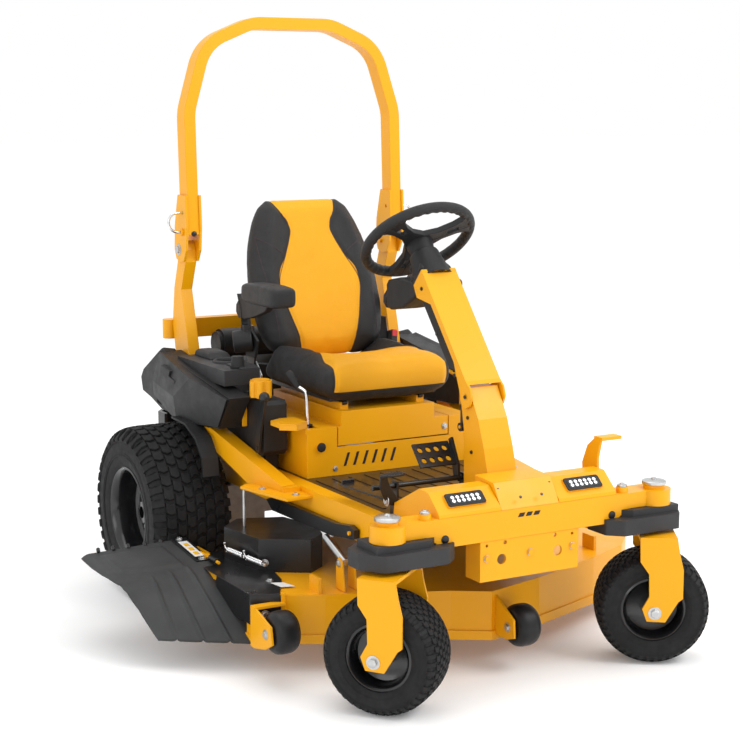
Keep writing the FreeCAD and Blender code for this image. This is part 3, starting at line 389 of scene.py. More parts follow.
def sweep(bm, points, radius, segments=12):
    """A round tube through points, each given in millimetres of the machine frame."""
    points = [Vector(point) for point in points]
    rings = []
    side = None
    for behind, point, ahead in zip(points[:1] + points, points, points[1:] + points[-1:]):
        along = (ahead - behind).normalized()
        if side is None:
            side = along.orthogonal().normalized()
        side = (side - along * side.dot(along)).normalized()
        other = along.cross(side)
        turns = [TAU * k / segments for k in range(segments)]
        rings.append([bm.verts.new(point + (side * math.cos(turn) + other * math.sin(turn)) * radius)
                      for turn in turns])
    skin(bm, rings, cap=True)


def smooth_path(points, steps=8):
    """Catmull-Rom points through a few guide points."""
    points = [Vector(point) for point in points]
    padded = [points[0] * 2 - points[1], *points, points[-1] * 2 - points[-2]]
    result = []
    for i in range(1, len(padded) - 2):
        a, b, c, d = padded[i - 1:i + 3]
        for k in range(steps):
            t = k / steps
            result.append(0.5 * ((2 * b) + (c - a) * t + (2 * a - 5 * b + 4 * c - d) * t * t
                                 + (3 * b - a - 3 * c + d) * t ** 3))
    result.append(points[-1])
    return result


def shrink(outline, gap):
    """Move each side of an outline inward by a gap."""
    following = outline[1:] + outline[:1]
    area = sum(a[0] * b[1] - b[0] * a[1] for a, b in zip(outline, following))
    sense = 1 if area > 0 else -1
    result = []
    for behind, here, ahead in zip(outline[-1:] + outline[:-1], outline, following):
        here = Vector(here)
        before = (here - Vector(behind)).normalized()
        after = (Vector(ahead) - here).normalized()
        first = Vector((-before.y, before.x)) * sense
        second = Vector((-after.y, after.x)) * sense
        bisector = (first + second).normalized()
        move = gap / max(0.3, bisector.dot(first))
        result.append(tuple(here + bisector * move))
    return result


def loft(bm, outlines, plane="side", place=Matrix.Identity(4)):
    """Join outlines of equal length, each as (position, points), and cap both ends."""
    rings = [[bm.verts.new(place @ Vector(PLANES[plane](a, b, where))) for a, b in points]
             for where, points in outlines]
    skin(bm, rings)
    bm.faces.new(rings[0])
    bm.faces.new(rings[-1][::-1])


def rounded_box(half_x, half_y, radius, steps=5):
    points = []
    for quarter, (across, up) in enumerate(((1, 1), (-1, 1), (-1, -1), (1, -1))):
        for i in range(steps + 1):
            turn = math.radians(90 * quarter + 90 * i / steps)
            points.append((across * (half_x - radius) + radius * math.cos(turn),
                           up * (half_y - radius) + radius * math.sin(turn)))
    return points


def bolt(bm, point, axis, radius=9.0, height=6.0, washer=True):
    """A hexagon head with a chamfered top on a washer."""
    place = Matrix.Translation(Vector(point)) @ turn_to(axis)
    if washer:
        lathe(bm, [(0, 0), (0, radius * 1.5), (1.6, radius * 1.5), (1.8, radius * 1.42), (1.8, 0)], point,
              axis, 24)
    skin(bm, [circle(bm, place, radius * size, along, 6)
              for along, size in ((1.0, 1.0), (height - 1.2, 1.0), (height, 0.86))], cap=True)


def bolts(name, body, items, material=ZINC):
    """Bolt heads as one piece, zinc plated unless a material is given."""
    return solid(name, material, body, *[(bolt, *item) for item in items], smooth_angle=30)


def pair(x, y, z, *rest):
    """The same bolt on the operator's right and left."""
    return [((sign * x, y, z), *rest) for sign, _ in SIDES]


# ---- wheels

def half_profile(half, radius, bead, depth):
    """The carcass from the crown's middle to one bead, as (x, radius)."""
    tall = radius - bead
    return [(0, radius - depth + 1), (half * 0.4, radius - depth + 0.5), (half * 0.66, radius - depth - 1.5),
            (half * 0.82, radius - depth - 7), (half * 0.93, radius - depth - 0.14 * tall),
            (half * 0.985, radius - 0.38 * tall), (half, bead + 0.4 * tall),
            (half * 0.985, bead + 0.24 * tall), (half - 7, bead + 0.1 * tall), (half - 13, bead)]


def tyre_profile(half, radius, bead, depth):
    side = smooth_path([(x, r, 0) for x, r in half_profile(half, radius, bead, depth)], 5)
    outer = [(p.x, p.y) for p in side]
    whole = [(-x, r) for x, r in reversed(outer)] + outer[1:]
    inner = [(half - 26, bead + 4), (half - 22, bead + 0.4 * (radius - bead)),
             (half * 0.7, radius - depth - 14), (-half * 0.7, radius - depth - 14),
             (22 - half, bead + 0.4 * (radius - bead)), (26 - half, bead + 4)]
    return whole, whole + inner


def surface_at(profile, x):
    """Radius and outward direction of the carcass at a place across the tread."""
    for (x0, r0), (x1, r1) in zip(profile, profile[1:]):
        if x0 <= x <= x1 and x1 > x0:
            share = (x - x0) / (x1 - x0)
            along = Vector((x1 - x0, r1 - r0)).normalized()
            return r0 + (r1 - r0) * share, Vector((-along.y, along.x))
    return profile[0][1], Vector((0, 1))


def tread_block(bm, profile, place, shape, angle, depth):
    """One rubber block: shape is (x, length along the tread); the top is a little smaller than the foot."""
    middle_x = sum(x for x, _ in shape) / len(shape)
    middle_s = sum(s for _, s in shape) / len(shape)
    rings = []
    for height, size in ((-1.5, 1.04), (depth - 1.2, 0.96), (depth, 0.86)):
        points = []
        for x, s in shape:
            x = middle_x + (x - middle_x) * size
            s = middle_s + (s - middle_s) * size
            radius, out = surface_at(profile, x)
            turn = angle + s / radius
            reach = radius + out.y * height
            points.append(bm.verts.new(place @ Vector((x + out.x * height, reach * math.cos(turn),
                                                       reach * math.sin(turn)))))
        rings.append(points)
    skin(bm, rings)
    bm.faces.new(rings[-1][::-1])


def make_tyre(name, node, centre, yaw, half, radius, bead, depth, rows, count, body):
    """Carcass with sidewall rings and staggered turf blocks; rows are (x, width, length share, bend)."""
    place = Matrix.Translation(Vector(centre)) @ Matrix.Rotation(yaw, 4, "Z")
    outer, section = tyre_profile(half, radius, bead, depth)
    bm = bmesh.new()
    axis = place.to_3x3() @ Vector((1, 0, 0))
    ring(bm, section, centre, axis, 112)
    for side in (-1, 1):
        for share, lift in ((0.30, 1.6), (0.36, 1.2), (0.66, 1.4)):
            ring_radius = bead + share * (radius - bead)
            x = side * (half - (1.5 if share < 0.5 else 3.0))
            ring(bm, [(x - 2.5, ring_radius - 2.4), (x + side * lift, ring_radius - 1.2),
                      (x + side * lift, ring_radius + 1.2), (x - 2.5, ring_radius + 2.4)], centre, axis, 112)
    pitch = TAU / count
    for index, (x, width, share, bend) in enumerate(rows):
        w = width / 2
        s = share * pitch * radius / 2
        shape = [(x - w, -s - bend), (x, -s + bend * 0.4), (x + w, -s - bend * 0.2), (x + w, s - bend * 0.2),
                 (x, s + bend * 0.4), (x - w, s - bend)]
        for i in range(count):
            tread_block(bm, outer, place, shape, (i + 0.5 * (index % 2)) * pitch, depth)
    piece = emit(name, bm, TYRE, body, smooth_angle=32)
    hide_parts(node)


def make_rim(name, centre, yaw, profile, body, lugs=0, lug_circle=0, outward=1):
    place = Matrix.Translation(Vector(centre)) @ Matrix.Rotation(yaw, 4, "Z")
    axis = place.to_3x3() @ Vector((1, 0, 0))
    solid(name, GLOSS_BLACK, body, (ring, profile, centre, axis, 80), smooth_angle=40)
    if lugs:
        turns = [TAU * i / lugs for i in range(lugs)]
        spots = [place @ Vector((outward * 46, lug_circle * math.cos(turn), lug_circle * math.sin(turn)))
                 for turn in turns]
        bolts(name + "_nuts", body, [(tuple(spot), tuple(axis * outward), 9, 12, False) for spot in spots])


def rear_rim(side):
    """Barrel, lips and stepped dish; side is -1 on the operator's right."""
    lip = [(124, 158), (127, 153), (122, 146), (100, 140), (70, 136)]
    outer = [(x * side, r) for x, r in lip]
    dish = [(44, 132), (36, 118), (40, 100), (34, 84), (46, 74), (46, 40), (74, 36), (76, 20.1)]
    back = [(26, 20.1), (26, 60), (22, 124), (-60, 130), (-100, 136), (-122, 146), (-127, 153), (-124, 158),
            (-112, 152), (0, 144), (112, 152)]
    return outer + [(x * side, r) for x, r in dish] + [(x * side, r) for x, r in back]


def front_rim():
    edge = [(70, 96), (73, 90), (68, 84), (50, 78), (24, 76), (16, 60), (14, 34), (94, 26), (94, 8.1)]
    whole = edge + [(-x, r) for x, r in reversed(edge)]
    return whole + [(-58, 90), (0, 86), (58, 90)]


REAR_ROWS = [(-116, 30, 0.56, 0), (-84, 30, 0.70, 6), (-50, 29, 0.70, 7), (-17, 28, 0.70, 7),
             (17, 28, 0.70, -7), (50, 29, 0.70, -7), (84, 30, 0.70, -6), (116, 30, 0.56, 0)]
FRONT_ROWS = [(-68, 20, 0.5, 0), (-48, 17, 0.66, 4), (-29, 17, 0.66, 4), (-9.5, 17, 0.66, 4),
              (9.5, 17, 0.66, -4), (29, 17, 0.66, -4), (48, 17, 0.66, -4), (68, 20, 0.5, 0)]
CASTER_X = 455
CASTER_Y = -1330
CASTER_Z = 167
CASTER_YAW = {"right": math.radians(39.6), "left": math.radians(57.8)}
for sign, side in SIDES:
    hub = (sign * 557, 0, 290)
    body = f"{side}_drive_wheel"
    make_tyre(f"rear_tyre_{side}", f"rear_wheel_{side}", hub, 0, 134, 290, 156, 8, REAR_ROWS, 38, body)
    make_rim(f"rear_rim_{side}", hub, 0, rear_rim(sign), body, 5, 57, sign)
    yaw = CASTER_YAW[side]
    hub = (sign * CASTER_X, CASTER_Y, CASTER_Z)
    body = f"{side}_caster"
    make_tyre(f"front_tyre_{side}", f"front_wheel_{side}", hub, yaw, 80, 167, 92, 5, FRONT_ROWS, 42, body)
    make_rim(f"front_rim_{side}", hub, yaw, front_rim(), body)


# ---- seat

def between(value, points):
    """Piecewise value of (position, value) points."""
    if value <= points[0][0]:
        return points[0][1]
    for (p0, v0), (p1, v1) in zip(points, points[1:]):
        if value <= p1:
            return v0 + (v1 - v0) * (value - p0) / (p1 - p0)
    return points[-1][1]


BACK_HALF = [(785, 150), (800, 182), (830, 222), (900, 243), (960, 250), (1060, 249), (1150, 233),
             (1230, 207), (1290, 176), (1318, 140)]
BACK_FRONT = [(785, -130), (810, -146), (840, -152), (900, -136), (1020, -86), (1180, -24), (1290, 20),
              (1318, 46)]
BACK_REAR = [(785, -66), (830, -50), (960, -6), (1130, 52), (1260, 84), (1318, 74)]
BACK_YELLOW = [(785, 92), (860, 108), (960, 138), (1047, 152), (1130, 112), (1190, 84), (1222, 78),
               (1270, 100), (1330, 132)]
SEAT_YELLOW = [(-620, 204), (-560, 204), (-480, 192), (-400, 168), (-300, 140), (-180, 124), (-50, 118)]


def power(value, exponent):
    return math.copysign(abs(value) ** exponent, value)


def oval(half, middle, deep, square_x, square_v, around=44):
    """Points round a squarish oval, as (x, other direction, sine of the turn)."""
    for k in range(around):
        turn = TAU * k / around
        yield (half * power(math.cos(turn), square_x), middle + deep * power(math.sin(turn), square_v),
               math.sin(turn))


def hill(share, peak, width):
    return math.exp(-((share - peak) / width) ** 2)


def seat_back_form():
    """Rings up the back: side bolsters stand forward of the middle and the front rolls over at the top."""
    bm = bmesh.new()
    rings = []
    for z in (785, 792, 803, 820, 845, *range(880, 1241, 40), 1270, 1292, 1306, 1314, 1318):
        half = between(z, BACK_HALF)
        front = between(z, BACK_FRONT)
        rear = between(z, BACK_REAR)
        points = []
        for x, y, sine in oval(half, (front + rear) / 2, (rear - front) / 2, 0.55, 0.62):
            if sine < 0:
                share = abs(x) / half
                push = 16 * hill(share, 0.78, 0.16) - 7 * hill(share, 0, 0.4)
                y -= push * min(1.0, (z - 785) / 60, (1330 - z) / 80)
            points.append(bm.verts.new((x, y, z)))
        rings.append(points)
    skin(bm, rings, cap=True)
    return bm


SEAT_TOP = [(-590, 800), (-575, 838), (-540, 842), (-420, 838), (-300, 818), (-200, 790), (-120, 774),
            (-68, 764)]
SEAT_LOW = [(-590, 766), (-580, 730), (-550, 714), (-300, 710), (-150, 722), (-68, 738)]
SEAT_HALF = [(-590, 196), (-580, 222), (-550, 234), (-300, 238), (-110, 232), (-68, 196)]
SEAT_RISE = [(-590, 0), (-480, 4), (-380, 20), (-280, 42), (-200, 62), (-150, 66), (-110, 40), (-68, 6)]
ARMREST_X = 312
ARMREST_SECTIONS = [(-444, 26, 1014, 1052), (-440, 38, 1005, 1062), (-428, 44, 1001, 1067),
                    (-380, 45, 1000, 1070), (-300, 45, 1000, 1070), (-225, 44, 1001, 1067),
                    (-200, 41, 1005, 1062), (-191, 32, 1013, 1054), (-188, 20, 1022, 1044)]


def cushion_form():
    """Sections across the cushion from front to back, with raised bolsters at the sides."""
    bm = bmesh.new()
    rings = []
    for y in (-590, -584, -572, -550, *range(-520, -159, 40), -125, -100, -82, -68):
        top = between(y, SEAT_TOP)
        low = between(y, SEAT_LOW)
        half = between(y, SEAT_HALF)
        points = []
        for x, z, sine in oval(half, (top + low) / 2, (top - low) / 2, 0.5, 0.55):
            if sine > 0:
                share = abs(x) / half
                z += between(y, SEAT_RISE) * hill(share, 0.8, 0.17) - 5 * hill(share, 0, 0.45)
            points.append(bm.verts.new((x, y, z)))
        rings.append(points)
    skin(bm, rings, cap=True)
    return bm


def apply_modifiers(piece):
    depsgraph = bpy.context.evaluated_depsgraph_get()
    mesh = bpy.data.meshes.new_from_object(piece.evaluated_get(depsgraph))
    piece.modifiers.clear()
    old = piece.data
    piece.data = mesh
    bpy.data.meshes.remove(old)


def inflate(piece, voxel=7, pressure=4.0, cap=8, frames=20):
    """Swell a closed form as padded cloth, then keep each point within cap of where it began."""
    remesh = piece.modifiers.new("remesh", "REMESH")
    remesh.mode = "VOXEL"
    remesh.voxel_size = voxel * MM
    apply_modifiers(piece)
    start = [vertex.co.copy() for vertex in piece.data.vertices]
    cloth = piece.modifiers.new("cloth", "CLOTH")
    cloth.settings.use_pressure = True
    cloth.settings.uniform_pressure_force = pressure
    cloth.settings.effector_weights.gravity = 0
    cloth.settings.quality = 4
    cloth.point_cache.frame_start = 1
    cloth.point_cache.frame_end = frames
    for number in range(1, frames + 1):
        bpy.context.scene.frame_set(number)
    apply_modifiers(piece)
    bpy.context.scene.frame_set(1)
    for vertex, home in zip(piece.data.vertices, start):
        move = vertex.co - home
        if move.length > cap * MM:
            vertex.co = home + move.normalized() * cap * MM
    relax(piece, 3)


def relax(piece, times):
    bm = bmesh.new()
    bm.from_mesh(piece.data)
    for _ in range(times):
        bmesh.ops.smooth_vert(bm, verts=bm.verts, factor=0.5, use_axis_x=True, use_axis_y=True,
                              use_axis_z=True)
    bm.to_mesh(piece.data)
    bm.free()


def sew(piece, distance, depth=5.0, width=8.0):
    """Pull the surface in along a sewn line; distance() gives millimetres from it, or None."""
    mesh = piece.data
    normals = [vertex.normal.copy() for vertex in mesh.vertices]
    for vertex, normal in zip(mesh.vertices, normals):
        gap = distance(machine(vertex.co), normal)
        if gap is not None and abs(gap) < 3 * width:
            vertex.co -= normal * depth * MM * math.exp(-(gap / width) ** 2)
    mesh.polygons.foreach_set("use_smooth", [True] * len(mesh.polygons))


def finish_pad(piece, material, node):
    piece.data.materials.clear()
    piece.data.materials.append(material)
    subdivided(piece, 1)
    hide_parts(node)


def front_of(look, split, slope, level):
    """1 where y is in front of a sloping plane."""
    plane = look.math("ADD", look.math("MULTIPLY", split[2], slope), level)
    return look.spread(look.math("SUBTRACT", plane, split[1]), -0.001, 0.001)


BACK_VINYL = two_tone_vinyl("seat_back_vinyl", "Z", [(z * MM, w * MM) for z, w in BACK_YELLOW],
                            lambda look, split: front_of(look, split, 0.3, (SHIFT_Y - 320) * MM))
CUSHION_VINYL = two_tone_vinyl("cushion_vinyl", "Y", [((y + SHIFT_Y) * MM, w * MM) for y, w in SEAT_YELLOW],
                               lambda look, split: look.spread(split[2], 0.744, 0.746))


def surface_line(name, piece, points, direction, radius, body):
    """A sewn seam laid on a pad: each point is carried along a direction until it meets the surface."""
    tree = BVHTree.FromObject(piece, bpy.context.evaluated_depsgraph_get())
    hits = [tree.ray_cast(at(*point), Vector(direction), 1.0)[0] for point in smooth_path(points, 10)]
    path = [machine(hit) for hit in hits if hit is not None]
    if len(path) > 2:
        solid(name, THREAD, body, (sweep, path, radius, 6))


def make_seat():
    back = emit("seat_back_pad", seat_back_form(), BACK_VINYL, "back", "seat_vinyl")
    inflate(back)
    sew(back, lambda p, n: abs(p.x) - between(p.z, BACK_YELLOW) if n.y < 0.25 else None)
    finish_pad(back, BACK_VINYL, "seat_back")
    cushion = emit("seat_cushion_pad", cushion_form(), CUSHION_VINYL, "cushion", "seat_vinyl")
    inflate(cushion)
    sew(cushion, lambda p, n: abs(p.x) - between(p.y, SEAT_YELLOW) if p.z > 745 else None)
    finish_pad(cushion, CUSHION_VINYL, "seat_cushion")
    ahead = -400
    above = 1000
    for sign, side in SIDES:
        line = [(sign * w, ahead, z) for z, w in BACK_YELLOW if 800 < z < 1300]
        surface_line(f"back_seam_{side}", back, line, (0, 1, 0), 1.3, "back")
        line = [(sign * w, y, above) for y, w in SEAT_YELLOW if -590 < y < -60]
        surface_line(f"cushion_seam_{side}", cushion, line, (0, 0, -1), 1.3, "cushion")
        for name, bolster in (("seam", ((112, 1130), (160, 1165), (206, 1192))),
                              ("line", ((206, 1192), (204, 1100), (192, 960), (186, 860)))):
            line = [(sign * x, ahead, z) for x, z in bolster]
            surface_line(f"bolster_{name}_{side}", back, line, (0, 1, 0), 1.0, "back")


make_seat()


def make_armrests():
    for sign, side in SIDES:
        bm = bmesh.new()
        skin(bm, [[bm.verts.new((sign * ARMREST_X + x, y, z))
                   for x, z, _ in oval(wide, (low + top) / 2, (top - low) / 2, 0.4, 0.45, 28)]
                  for y, wide, low, top in ARMREST_SECTIONS], cap=True)
        pad = emit(f"armrest_pad_{side}", bm, BLACK_VINYL, f"{side}_armrest", subdivide=1)
        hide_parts(f"armrest_{side}")
        solid(f"armrest_bracket_{side}", BLACK_PLASTIC, f"{side}_armrest",
              (prism, [(-300, 1004), (-262, 972), (-180, 946), (-110, 932), (-62, 932), (-42, 950),
               (-44, 975), (-70, 1000), (-130, 1008)], sign * 298, sign * 272),
              (lathe, [(-16, 0), (-16, 15), (12, 17), (14, 14), (14, 0)], (sign * 285, -75, 960),
               (sign, 0, 0)), bevel=3)


make_armrests()


def seat_hardware():
    solid("seat_pan", BLACK_PAINT, "cushion", (block, (-196, 196), (-520, -90), (707, 722)),
          *[shape for x in (-150, 130) for shape in (
              (block, (x - 12, x + 12), (-520, -120), (704.5, 712)),
              (lathe, [(0, 0), (0, 7), (16, 7), (16, 0)], (x - 8, -532, 703), (1, 0, 0), 16))], bevel=2)
    for sign, side in SIDES:
        solid(f"seat_hinge_{side}", ZINC, "cushion",
              (prism, [(-130, 724), (-60, 730), (-52, 770), (-66, 784), (-96, 784), (-140, 742)], sign * 246,
               sign * 251), bevel=1)
        solid(f"back_plate_{side}", BLACK_PAINT, "back",
              (prism, [(-96, 748), (-60, 744), (-50, 770), (-32, 830), (-30, 905), (-90, 905), (-104, 830)],
               sign * 252, sign * 258), bevel=1.5)
        bolts(f"hinge_bolt_{side}", "back", [((sign * 258, -75, 760), (sign, 0, 0), 9, 7)])
    solid("belt_retractor", BLACK_PLASTIC, "cushion",
          (lathe, [(-34, 0), (-34, 34), (-31, 38), (26, 38), (30, 34), (30, 0)], (-294, -92, 856),
           (1, -0.5, 0.15)),
          (prism, [(-150, 862), (-96, 896), (-66, 880), (-60, 800), (-130, 800)], -272, -262),
          (block, (-300, -280), (-112, -84), (884, 912)), bevel=3)
    tilt = (Matrix.Translation((262, -118, 800)) @ Matrix.Rotation(math.radians(-14), 4, "X")
            @ Matrix.Rotation(math.radians(10), 4, "Y"))
    solid("belt_buckle", BLACK_PLASTIC, "cushion", (block, (-4, 4), (-12, 12), (-50, 22), tilt),
          (block, (-13, 13), (-21, 21), (16, 58), tilt), bevel=4)
    solid("buckle_button", RED, "cushion", (block, (-9, 9), (-22.6, -8), (36, 60), tilt),
          (block, (-9, 9), (-16, 14), (54, 60.5), tilt), bevel=2)
    solid("belt_webbing", BLACK_VINYL, "cushion",
          (prism, [(-108, 884), (-96, 890), (-86, 960), (-60, 1010), (-56, 1012), (-82, 958), (-92, 886)],
           -300, -266), bevel=0.6)


seat_hardware()


# ---- steering wheel

HELM = (0, -728, 1227)
WHEEL_TILT = math.radians(-39.6)
WHEEL_PLACE = Matrix.Translation(HELM) @ Matrix.Rotation(WHEEL_TILT, 4, "X")
RIM_STEPS = 168
RIM_WAVES = 36


def make_helm_rim():
    """The grip: a ring whose inner side is waved for the fingers."""
    bm = bmesh.new()
    rings = []
    for i in range(RIM_STEPS):
        turn = TAU * i / RIM_STEPS
        wave = 0.5 + 0.5 * math.cos(turn * RIM_WAVES)
        out = Vector((math.cos(turn), math.sin(turn), 0))
        points = []
        for k in range(18):
            lean = TAU * k / 18
            inner = max(0.0, -math.cos(lean - 0.5)) ** 0.5
            size = 17.0 - 2.6 * wave * inner
            points.append(bm.verts.new(WHEEL_PLACE @ (out * (168 + size * 0.98 * math.cos(lean))
                                                      + Vector((0, 0, size * math.sin(lean))))))
        rings.append(points)
    skin(bm, rings, closed=True)
    rim = emit("helm_rim", bm, BLACK_VINYL, "wheel_at_helm", "black_plastic")
    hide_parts("steering_wheel")


def make_steering_wheel():
    axis = WHEEL_PLACE.to_3x3() @ Vector((0, 0, 1))
    spokes = []
    for angle in (90, 215, 325):
        turn = WHEEL_PLACE @ Matrix.Rotation(math.radians(angle), 4, "Z")
        for edge in (-1, 1):
            spokes.append((prism, [(24, edge * 38), (24, edge * 8), (112, edge * 8), (164, edge * 12),
                                   (166, edge * 52), (146, edge * 34), (118, edge * 25), (70, edge * 23)],
                           -15, 4, "top", turn))
        spokes.append((block, (24, 92), (-9, 9), (-14, 0), turn))
        spokes.append((block, (128, 164), (-13, 13), (-14, 2), turn))
    solid("helm_spokes", BLACK_PLASTIC, "wheel_at_helm", *spokes, bevel=2)
    solid("helm_hub", BLACK_PLASTIC, "wheel_at_helm",
          (lathe, [(-50, 0), (-50, 36), (-20, 42), (0, 42), (8, 38), (12, 26), (13, 0)], HELM, axis, 48),
          (lathe, [(-62, 0), (-62, 31), (-46, 36), (-46, 0)], HELM, axis, 48))
    solid("helm_shaft", ZINC, "wheel_at_helm",
          (lathe, [(-146, 0), (-146, 10), (-48, 10), (-48, 0)], HELM, axis, 24))
    folds = [(-150 + 95 * i / 12, 59.5 - 15 * i / 12 + (1.2 if i % 2 else 0)) for i in range(13)]
    solid("column_boot", BLACK_PLASTIC, "column", (lathe, [(-150, 12), *folds, (-55, 12)], HELM, axis, 56))
    base = [(x, y + 3) for x, y in rounded_box(56, 41, 9)]
    top = [(x * 0.80, y * 0.80 + 3) for x, y in rounded_box(56, 41, 9)]
    solid("column_collar", BLACK_PLASTIC, "column", (loft, [(-180, base), (-128, base)], "top", WHEEL_PLACE),
          (loft, [(-128, base), (-100, top)], "top", WHEEL_PLACE), bevel=5)
    under = [(-812, 1102), (-700, 1112), (-636, 1100), (-624, 1084), (-630, 1016), (-650, 1006), (-730, 1020),
             (-806, 1064)]
    solid("column_pod", BLACK_PLASTIC, "column",
          (loft, [(-54, shrink(under, 5)), (-48, under), (48, under), (54, shrink(under, 5))]), bevel=4)
    solid("column_strip", BLACK_PLASTIC, "column",
          (prism, [(-862, 1122), (-1044, 904), (-1022, 864), (-986, 869), (-831, 1053), (-808, 1092)], -47,
           47), bevel=2)
    solid("column_rear_flange", YELLOW, "column",
          (prism, [(-803, 1098), (-847, 1149), (-855, 1142), (-815, 1098), (-829, 1069), (-822, 1062)],
           -60.5, 60.5), bevel=1.5)
    for name, body, x, spots in (
            ("column_screws", "column", 60, ((-852, 1092), (-940, 966), (-1040, 856), (-1098, 800))),
            ("base_screws", "chassis", 50, ((-1098, 738), (-1120, 640), (-1150, 540)))):
        bolts(name, body, [((sign * x, y, z), (sign, 0, 0), 6, 4, False)
                           for sign in (-1, 1) for y, z in spots], BLACK_PAINT)


make_helm_rim()
make_steering_wheel()


# ---- running gear and frame hardware

def make_caps():
    bm = bmesh.new()
    for sign in (-1, 1):
        lathe(bm, [(0, 0), (0, 35), (3, 36), (9, 36), (11, 33), (12, 24), (13, 22), (14, 8), (18, 7), (19, 5),
                   (19, 0)], (sign * 455, -1330, 532), (0, 0, 1), 40)
        lathe(bm, [(0, 0), (0, 15), (5, 15), (7, 12), (8, 6), (11, 5), (11, 0)], (sign * 337, -1330, 537),
              (0, 0, 1), 28)
    emit("king_pin_caps", bm, ZINC, "chassis")


def make_lamps():
    for sign, side in SIDES:
        place = Matrix.Translation((sign * 201, -1317, 556.5)) @ Matrix.Rotation(math.radians(41), 4, "X")
        ahead = place.to_3x3() @ Vector((0, 0, 1))
        solid(f"lamp_bezel_{side}", BLACK_PLASTIC, "chassis",
              (prism, rounded_box(62, 22, 8), 4.8, 8.5, "top", place), bevel=1.5)
        solid(f"lamp_glass_{side}", GLOSS_BLACK, "chassis",
              (prism, rounded_box(54, 15, 5), 8.3, 9.6, "top", place), slot="black_plastic", bevel=0.5)
        spots = [place @ Vector((-41 + 16.4 * i, -6 + 12 * j, 9.4)) for i in range(6) for j in range(2)]
        solid(f"lamp_diodes_{side}", LENS, "chassis",
              *[(lathe, [(0, 5.6), (0.8, 5.4), (1.6, 3.8), (1.9, 0)], spot, ahead, 16) for spot in spots])


def frame_bolts():
    zinc = [((x, -1350.5, 389), (0, -1, 0), 7, 5) for x in (-146, 0, 146)]
    bolts("frame_bolts", "chassis", zinc + pair(455, -560, 463, (0, 0, 1), 8, 6)
          + pair(400, -680, 463, (0, 0, 1), 8, 6))
    bolts("fold_bolts", "roll_bar", [((sign * 423.5, 138, 1150), (sign, 0, 0), 13, 9) for sign in (-1, 1)])
    bolts("dark_bolts", "chassis",
          pair(285, -1352, 462, (0, -1, 0), 8, 3) + pair(36, -1350, 552, (0, -0.8, 0.6), 5, 3, False)
          + pair(88, -1311, 575, (0, -0.7, 0.7), 5, 3, False), BLACK_PAINT)
    for sign, side in SIDES:
        turn = Matrix.Translation((sign * CASTER_X, CASTER_Y, 0)) @ Matrix.Rotation(CASTER_YAW[side], 4, "Z")
        items = [(tuple(turn @ Vector((face * 107, 0, CASTER_Z))),
                  tuple(turn.to_3x3() @ Vector((face, 0, 0))), 13, 11) for face in (-1, 1)]
        bolts(f"axle_bolts_{side}", f"{side}_fork", items)
    bolts("roller_bolts", "deck", [((-664, -1006, 154), (-1, 0, 0), 10, 7),
          ((0, -1242, 138), (-1, 0, 0), 10, 7)])
    bolts("seat_box_bolts", "chassis", [((-200, -562, 500), (0, -1, 0), 6, 4),
          ((205, -562, 600), (0, -1, 0), 7, 5)])


make_caps()
make_lamps()
frame_bolts()


def make_rollers():
    for name, centre in (("right", (-613, -1006, 154)), ("front", (50, -1242, 138))):
        bm = bmesh.new()
        half = 37.5
        outer = smooth_path([(-half, 22, 0), (-half, 44, 0), (-half + 6, 54, 0), (-20, 61, 0), (0, 63, 0),
                             (20, 61, 0), (half - 6, 54, 0), (half, 44, 0), (half, 22, 0)], 4)
        profile = [(p.x, p.y) for p in outer] + [(half - 6, 20), (half - 6, 8.2), (6 - half, 8.2),
                                                 (6 - half, 20)]
        ring(bm, profile, centre, (1, 0, 0), 56)
        piece = emit(f"roller_tread_{name}", bm, ROLLER, f"{name}_roller")
        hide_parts(f"scalp_roller_{name}")


make_rollers()


# ---- deck

CHUTE_HINGE_X = -612
CHUTE_REACH = 344
CHUTE_RIBS = (-700, -765, -830)
CHUTE_EDGE = [(-958, -330), (-954, -450), (-942, -570), (-926, -618), (-906, -650), (-890, -690),
              (-872, -740), (-864, -1000)]
CHUTE_INNER = [(-302, 268), (-440, 252), (-520, 243), (-580, 226), (-720, 172), (-903, 92)]
CHUTE_OUTER = [(-302, 258), (-540, 240), (-590, 234), (-622, 212), (-646, 160), (-672, 92)]


def chute_point(u, v):
    """A point on the chute: u runs outward from the hinge, v from the rear edge over the bend and down."""
    x = CHUTE_HINGE_X - CHUTE_REACH * u
    section = [(a + (c - a) * u, b + (d - b) * u) for (a, b), (c, d) in zip(CHUTE_INNER, CHUTE_OUTER)]
    edge = between(-x, sorted((-ex, -ey) for ex, ey in CHUTE_EDGE))
    lengths = [0.0]
    for (a, b), (c, d) in zip(section, section[1:]):
        lengths.append(lengths[-1] + math.hypot(c - a, d - b))
    limit = lengths[-1]
    for i, ((a, b), (c, d)) in enumerate(zip(section, section[1:])):
        if -a <= edge < -c:
            limit = lengths[i] + (lengths[i + 1] - lengths[i]) * (edge + a) / (a - c)
    where = v * limit
    y = between(where, list(zip(lengths, [a for a, _ in section])))
    z = between(where, list(zip(lengths, [b for _, b in section])))
    z -= 12 * max(0.0, (u - 0.92) / 0.08) ** 2
    over = min(1.0, max(0.0, (-y - 520 - 0.3 * (-700 - x)) / 40))
    for rib in CHUTE_RIBS:
        z += 7 * over * hill(x, rib, 5.0)
    ridge = min(x + 905, -705 - x, -345 - y, y + 520)
    z += 6 / (1 + math.exp(-ridge / 1.8))
    return x, y, z


